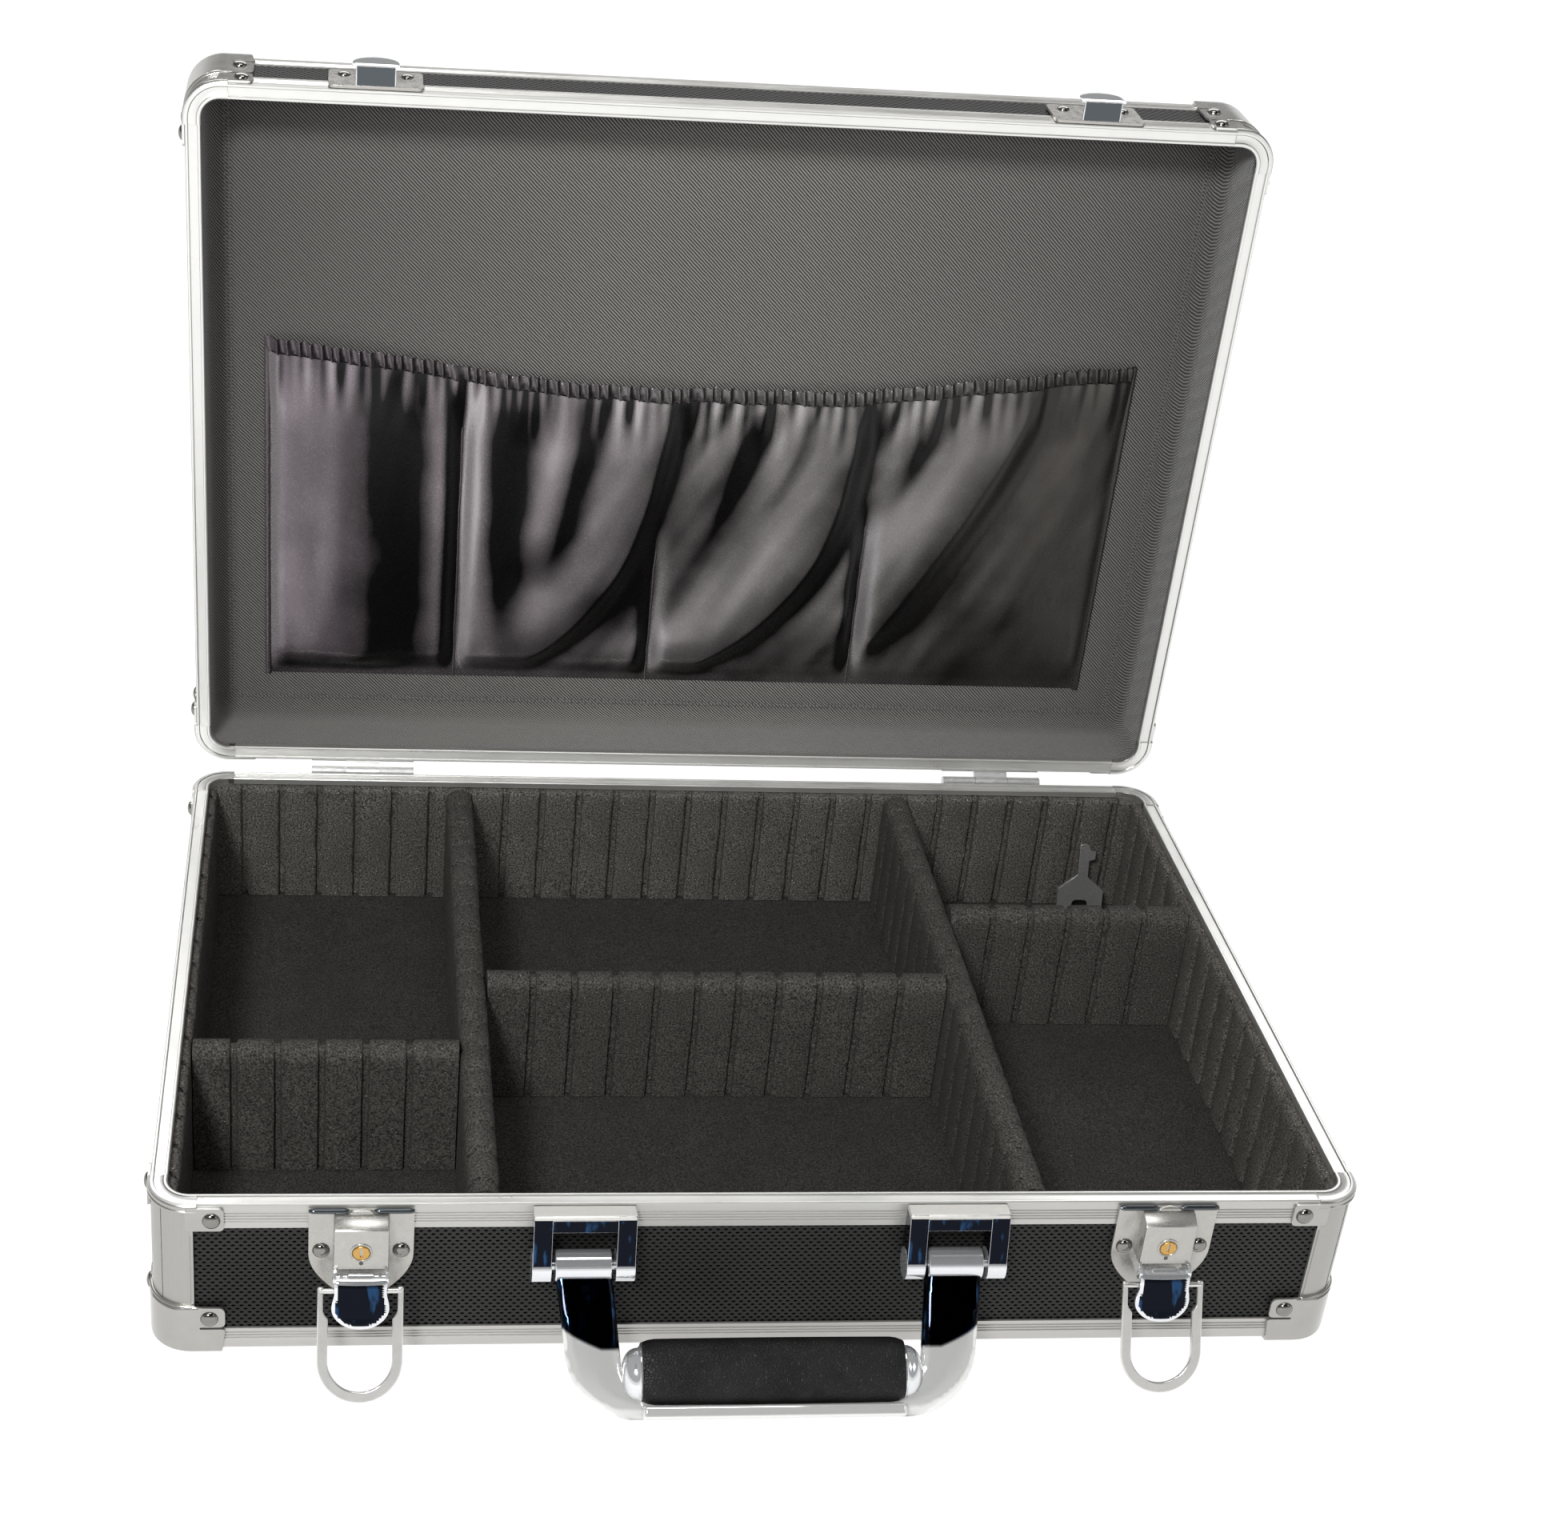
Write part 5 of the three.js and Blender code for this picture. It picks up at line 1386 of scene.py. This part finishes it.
def build_latches():
    latch_heads, catch_heads = latch_rivets()
    plate, tongue, web = catch_parts()
    notch = prism(Shape(), rounded(-0.8, 0.8, 47.2, 48.9, 0.75, 4), "Y", -D - 8.46, -D - 8.1)
    pin = rod(Shape(), (-15.4, 0, 0), (15.4, 0, 0), 1.0, 14)
    # Piece, shape, finish, body, the node it stands for, slot, smoothing angle and bevel
    rows = (
        ("latch_plate_{}", latch_plate(), SATIN_NICKEL, "base", "latch_body_{}", "chrome", 50, {}),
        ("latch_roll_{}", latch_roll(), DIM_CHROME_PAINTED_REFLECTION, "base", None, "chrome", 60, {}),
        ("latch_lip_{}", latch_lip(), SATIN_NICKEL, "base", None, "chrome", 50, {"bevel": 0.25}),
        ("latch_housing_{}", housing_shape(), SATIN_NICKEL, "base", None, "chrome", 34, {}),
        ("latch_ears_{}", latch_ears(), CHROME, "base", None, "chrome", 34, {"bevel": 0.22}),
        ("latch_rivets_{}", latch_heads, RIVET_STEEL, "base", None, "chrome", 38, {}),
        ("lock_collar_{}", lock_collar(), SATIN_NICKEL, "base", None, "chrome", 50, {}),
        ("lock_notch_{}", notch, DARK_GAP, "base", None, "chrome", 50, {}),
        ("lock_plug_{}", plug_shape(), BRASS, "lock_{}", "key_cylinder_{}", "brass", 40, {}),
        ("latch_paddle_{}", lever_shape(), CHROME_PAINTED_DARK_REFLECTION, "lever_{}", "latch_lever_{}", "chrome", 40, {}),
        ("latch_pivot_{}", lever_works(), CHROME, "lever_{}", None, "chrome", 40, {}),
        ("latch_bail_{}_loop", bail_shape(), BAIL_STEEL, "bail_{}", "latch_bail_{}", "satin_steel", 40,
         {"bevel": 0.45, "segments": 3}),
        ("latch_bail_{}_pin", pin, BAIL_STEEL, "bail_{}", None, "satin_steel", 40, {}),
        ("catch_{}_plate", plate, SATIN_NICKEL, "lid", "catch_{}", "chrome", 40, {"bevel": 0.25}),
        ("catch_{}_tongue", tongue, CHROME, "lid", None, "chrome", 40, {}),
        ("catch_{}_web", web, DIM_CHROME_PAINTED_REFLECTION, "lid", None, "chrome", 40,
         {"bevel": 0.5, "segments": 3, "rim": MIRROR_CHROME}),
        ("catch_{}_rivets", catch_heads, RIVET_STEEL, "lid", None, "chrome", 38, {}),
    )
    for side, sign in SIDES.items():
        own = Matrix.Translation((sign * HARDWARE_X * MM, 0, 0))
        hang = own @ Matrix.Translation((0, BAIL_Y * MM, BAIL_Z * MM)) @ Matrix.Rotation(-BAIL_REST, 4, "X")
        places = {"lid": LID @ own, "bail_{}": hang}
        for name, shape, finish, body, node, slot, angle, edges in rows:
            nodes = [node.format(side)] if node else ()
            made = piece(name.format(side), shape, finish, body.format(side), nodes, slot,
                         places.get(body, own), angle, **edges)
            if node == "latch_lever_{}":
                bright_rim(made, paddle_outline(), 1.3)


# ---- Handle ----
def bracket_shape():
    """A bracket's ears with the bridge between them, its folded top flange, and its rolled pivot ends."""
    y, z, back = HANDLE_Y, HANDLE_Z, -D - 0.25
    ear = [(back, 68.1), (-D - 6.8, 68.1), (-D - 8.4, 62), (y - 6.0, z), *arc(y, z, 6.1, 184, 330, 14),
           (back, z + 0.5)]
    bridge = [(back, 66.4), (-D - 7.3, 66.4), (-D - 8.2, 61.6), (back, 61.6)]
    flange = [(back, 68.25), (back, 66.3), (-D - 7.4, 66.3), (-D - 6.9, 68.2)]
    ears = both_sides(Shape(), ear, ARM_HALF + 1.6, BRACKET_HALF)
    prism(ears, bridge, "X", -ARM_HALF - 1.7, ARM_HALF + 1.7)
    rolls = both_sides(Shape(), arc(y, z, 6.25, 0, 348, 30), ARM_HALF + 1.5, BRACKET_HALF + 0.1)
    return ears, prism(Shape(), flange, "X", -BRACKET_HALF - 0.1, BRACKET_HALF + 0.1), rolls


def arm_outline():
    """The chrome frame's outline in its own frame, hanging down from the pivot."""
    bottom, taper, bend, inner_bend = -HANDLE_LENGTH, 3.4, 27, 6
    out, inn = BRACKET_X + ARM_HALF, BRACKET_X - ARM_HALF
    bx, ix, floor = out - taper - bend, inn - taper - inner_bend, bottom + BAR_HEIGHT + inner_bend
    return [(-out, 0), *arc(-bx, bottom + bend, bend, 180, 270, 18),
            *arc(bx, bottom + bend, bend, 270, 360, 18), (out, 0), (inn, 0),
            *arc(ix, floor, inner_bend, 0, -90, 8), *arc(-ix, floor, inner_bend, -90, -180, 8), (-inn, 0)]


def frame_bow():
    """The bow: a flat bar with a raised rounded rim along its edges, thinner towards its bottom."""
    line = arm_outline()
    level = 22

    def place(x, zz, off):
        edge = clearance(x, zz, [line])
        rim = min(1.0, edge / 2.2)
        bend = smooth((-zz - level) / 16)
        drop = max(0.0, (-zz - level) / (HANDLE_LENGTH - level))
        hollow = 1.2 * bend * (1 - min(1.0, edge / 12)) ** 1.6
        swell = 3.0 - 0.7 * (1 - rim) ** 2 - hollow - 3.1 * drop ** 1.5
        swell = max(swell, -1.5)
        return Vector((x, -swell if off == 0 else 2.9 - 0.6 * (1 - rim) ** 2, zz))
    return Shape().sheet([line], place, 6.0, 2.0)


def grip_shape():
    """The leather-like grip: a rounded block, a little fuller in the middle, with rounded ends."""
    mid = -(GRIP_NEAR + GRIP_FAR) / 2
    rings = []
    for t in np.linspace(-1, 1, 41):
        x = t * GRIP_HALF
        end = min(1.0, (GRIP_HALF - abs(x)) / 5.0)
        shrink = 1.0 - 0.10 * (1 - end) ** 2 - 0.02 * t * t
        ring = []
        for px, pz in rounded(-8.4, 8.4, -12.1, 12.1, 6.2, 7):
            crown = 0.4 * math.cos(px / 8.4 * 1.2)
            ring.append((x, px * shrink, (pz + math.copysign(crown, pz)) * shrink * 0.97 + mid))
        rings.append(ring)
    return Shape().loft(rings)


def neck_shape():
    """The ball-like chrome collar between each arm and the grip."""
    ball = [(9.4 * math.cos(a) ** 0.8, 2.2 + 6.2 * math.sin(a)) for a in np.radians(range(12, 84, 12))]
    profile = [(0, 0), (9.6, 0.0), (10.2, 0.6), (10.2, 1.6), (9.4, 2.2), *ball, (0, 8.4)]
    shape = Shape()
    mid = -(GRIP_NEAR + GRIP_FAR) / 2
    for side in (-1, 1):
        start = Matrix.Translation((side * (GRIP_HALF - 1.0), 0, mid - 0.5))
        outward = Matrix.Rotation(math.radians(90 * side), 4, "Y")
        matrix = start @ outward @ Matrix.Diagonal((1.0, 0.72, 1, 1))
        shape.lathe(profile, matrix, 32)
    return shape


def handle_knuckles():
    """The sleeves at the tops of both arms, round the pivot pins."""
    shape = Shape()
    ring = [(6.0, 0.0), (6.0, 2 * ARM_HALF), (2.3, 2 * ARM_HALF), (2.3, 0.0)]
    for side in (-1, 1):
        x0 = side * BRACKET_X - ARM_HALF
        shape.loft([[(x0 + d, q * math.cos(a), q * math.sin(a)) for q, d in ring] for a in turns(32)],
                   closed=True)
    return shape


def build_handle():
    ears, flange, rolls = bracket_shape()
    reach = BRACKET_HALF - 0.6
    pin = rod(Shape(), (-reach, HANDLE_Y, HANDLE_Z), (reach, HANDLE_Y, HANDLE_Z), 1.8, 18)
    rows = (
        ("ears", ears, CHROME_PAINTED_DARK_REFLECTION, 34, {"bevel": 0.7, "segments": 3, "rim": MIRROR_CHROME}),
        ("flange", flange, ROUGH_CAST, 34, {"bevel": 0.6, "segments": 3}),
        ("rolls", rolls, MIRROR_CHROME, 50, {"bevel": 0.5, "segments": 3}),
        ("pin", pin, CHROME, 38, {}),
    )
    for side, sign in SIDES.items():
        own = Matrix.Translation((sign * BRACKET_X * MM, 0, 0))
        node = f"handle_bracket_{side}"
        for part, shape, finish, angle, edges in rows:
            stands_for = [node] if part == "ears" else ()
            piece(f"{node}_{part}", shape, finish, "base", stands_for, "chrome", own, angle, **edges)
    hang = Matrix.Translation((0, HANDLE_Y * MM, HANDLE_Z * MM)) @ Matrix.Rotation(-HANDLE_REST, 4, "X")
    tray = Shape().block((-GRIP_HALF, -7.4, -HANDLE_LENGTH), (GRIP_HALF, 7.4, -GRIP_FAR - 0.1))
    for part, shape, finish, nodes, slot, angle, edges in (
            ("bow", frame_bow(), BOW_CHROME_PAINTED_REFLECTION, ["handle_frame"], "chrome", 45, {}),
            ("knuckles", handle_knuckles(), MIRROR_CHROME, (), "chrome", 40, {"bevel": 0.4}),
            ("tray", tray, BOW_CHROME_PAINTED_REFLECTION, (), "chrome", 40, {"bevel": 1.4, "segments": 4}),
            ("necks", neck_shape(), CHROME, (), "chrome", 40, {}),
            ("grip_cover", grip_shape(), LEATHER, ["handle_grip"], "black_leather", 50, {})):
        piece(f"handle_{part}", shape, finish, "handle", nodes, slot, hang, angle, **edges)


# ---- Hinges and key ----
def key_shape():
    """A flat key standing on its bow, with a hole in the bow and two steps in its blade."""
    half, top = 11.4, 14
    outline = [*arc(3 - half, 3, 3, 180, 270, 5), *arc(half - 3, 3, 3, 270, 360, 5), (half, top),
               (4, top + 6), (3, top + 7), (3, 29), (5.9, 30), (5.9, 34), (3.4, 34), (3.4, 35), (2.6, 36),
               (2.6, 37.2), (0.3, 37.8), (-2.1, 37.2), (-2.1, top + 8), (-half + 0.2, top + 1)]
    return prism(Shape(), outline, "Y", -0.95, 0.95, [rounded(-4, 4, 4, 9, 2.2)])


def build_small_parts():
    for side in SIDES:
        repaint(f"hinge_base_leaf_{side}", HINGE_STEEL)
        repaint(f"hinge_lid_leaf_{side}", HINGE_STEEL)
    floor = box_mm("floor_foam")[1][2] + 0.8
    at = Matrix.Translation(Vector((*KEY_AT, floor)) * MM) @ Matrix.Rotation(-KEY_LEAN, 4, "X")
    piece("key_blank", key_shape(), KEY_STEEL, "key", ["key"], "key_steel", at, 40, bevel=0.3)


# ---- Camera, light and floor ----
CAMERA_AT = (-0.16133, -0.9037, 0.67059)
CAMERA_RIGHT = Vector((0.99267, -0.09625, 0.07308))
CAMERA_DOWN = Vector((0.01455, -0.50513, -0.86292))
CAMERA_AHEAD = Vector((0.11997, 0.85766, -0.50002))
FOCAL_LENGTH, SENSOR_WIDTH, SHIFT = 58.96, 36, (0.0830, 0.0338)
FLOOR_SIZE, FLOOR_Z, FLOOR_GLOW = 45, -1.3 * MM, 0.92
# The sky is white at the horizon and darker towards these directions: the cosines where that starts and
# is full, and the colour
SKY_SHADES = (
    ((0, 0, 1), 0.12, 0.26, (0.24, 0.24, 0.24)),
    ((0.12, -0.55, 0.83), 0.80, 0.90, (0.003, 0.004, 0.007)),
)
# name, azimuth (0 in front, 90 on the right), elevation, distance, size, watts, seen in reflections
LIGHTS = (
    ("overhead", 0, 84, 1.8, (0.8, 0.6), 9, True),
    ("key_box", -24, 40, 2.0, (0.32, 0.32), 42, True),
    ("front_box", 6, 30, 2.0, (1.8, 1.0), 9, False),
    ("right_box", 60, 30, 2.0, (0.8, 0.6), 2, True),
    ("back_box", 176, 46, 2.2, (2.6, 0.9), 26, True),
)


def build_camera():
    lens = bpy.data.cameras.new("camera")
    camera = placed("camera", lens)
    turn = Matrix((CAMERA_RIGHT, -CAMERA_DOWN, -CAMERA_AHEAD)).transposed()
    camera.matrix_world = Matrix.Translation(CAMERA_AT) @ turn.to_4x4()
    lens.lens, lens.sensor_width = FOCAL_LENGTH, SENSOR_WIDTH
    lens.shift_x, lens.shift_y = SHIFT
    lens.clip_start, lens.clip_end = 0.02, 150
    bpy.context.scene.camera = camera


def build_floor():
    """A pale floor that gives off most of its own white, so that the metals don't mirror it too bright."""
    plane = bpy.data.meshes.new("floor")
    r, z = FLOOR_SIZE, FLOOR_Z
    plane.from_pydata([(-r, -r, z), (r, -r, z), (r, r, z), (-r, r, z)], [], [(0, 1, 2, 3)])
    pale = Finish("pale_floor", 0.22, 0.7, Emission_Strength=FLOOR_GLOW)
    pale.shader.inputs["Emission Color"].default_value = (1, 1, 1, 1)
    pale.set("Roughness", pale.span(pale.noise(0.01), 0.3, 0.7, 0.65, 0.75))
    plane.materials.append(pale.material)
    placed("floor", plane)


def build_sky():
    world = bpy.data.worlds.new("studio")
    bpy.context.scene.world = world
    world.use_nodes = True
    sky = Nodes(world.node_tree)
    seen = sky.node("TexCoord").outputs["Generated"]
    colour = 1.0
    for direction, start, end, shade in SKY_SHADES:
        towards = {0: seen, 1: Vector(direction).normalized()}
        cosine = sky.node("VectorMath", towards, operation="DOT_PRODUCT").outputs["Value"]
        colour = sky.mix(sky.span(cosine, start, end), colour, shade)
    sky.tree.links.new(colour, sky.tree.nodes["Background"].inputs["Color"])


def build_lights():
    for name, azimuth, elevation, distance, size, power, mirrored in LIGHTS:
        a, e = math.radians(azimuth), math.radians(elevation)
        light = bpy.data.lights.new(name, "AREA")
        light.shape = "RECTANGLE"
        light.size, light.size_y = size
        light.energy = power
        away = Vector((math.sin(a) * math.cos(e), -math.cos(a) * math.cos(e), math.sin(e)))
        made = placed(name, light)
        made.visible_glossy = mirrored
        made.location = Vector((0, 0, 0.12)) + away * distance
        made.rotation_mode = "QUATERNION"
        made.rotation_quaternion = away.to_track_quat("Z", "Y")


build_camera()
build_floor()
build_sky()
build_lights()
bpy.context.scene.view_settings.view_transform = "Standard"
bpy.context.scene.view_settings.look = "None"
build_frames()
build_corners()
build_posts()
build_panels()
build_wall_foam()
build_dividers()
build_floor_foam()
build_lining()
build_pocket()
build_latches()
build_handle()
build_small_parts()
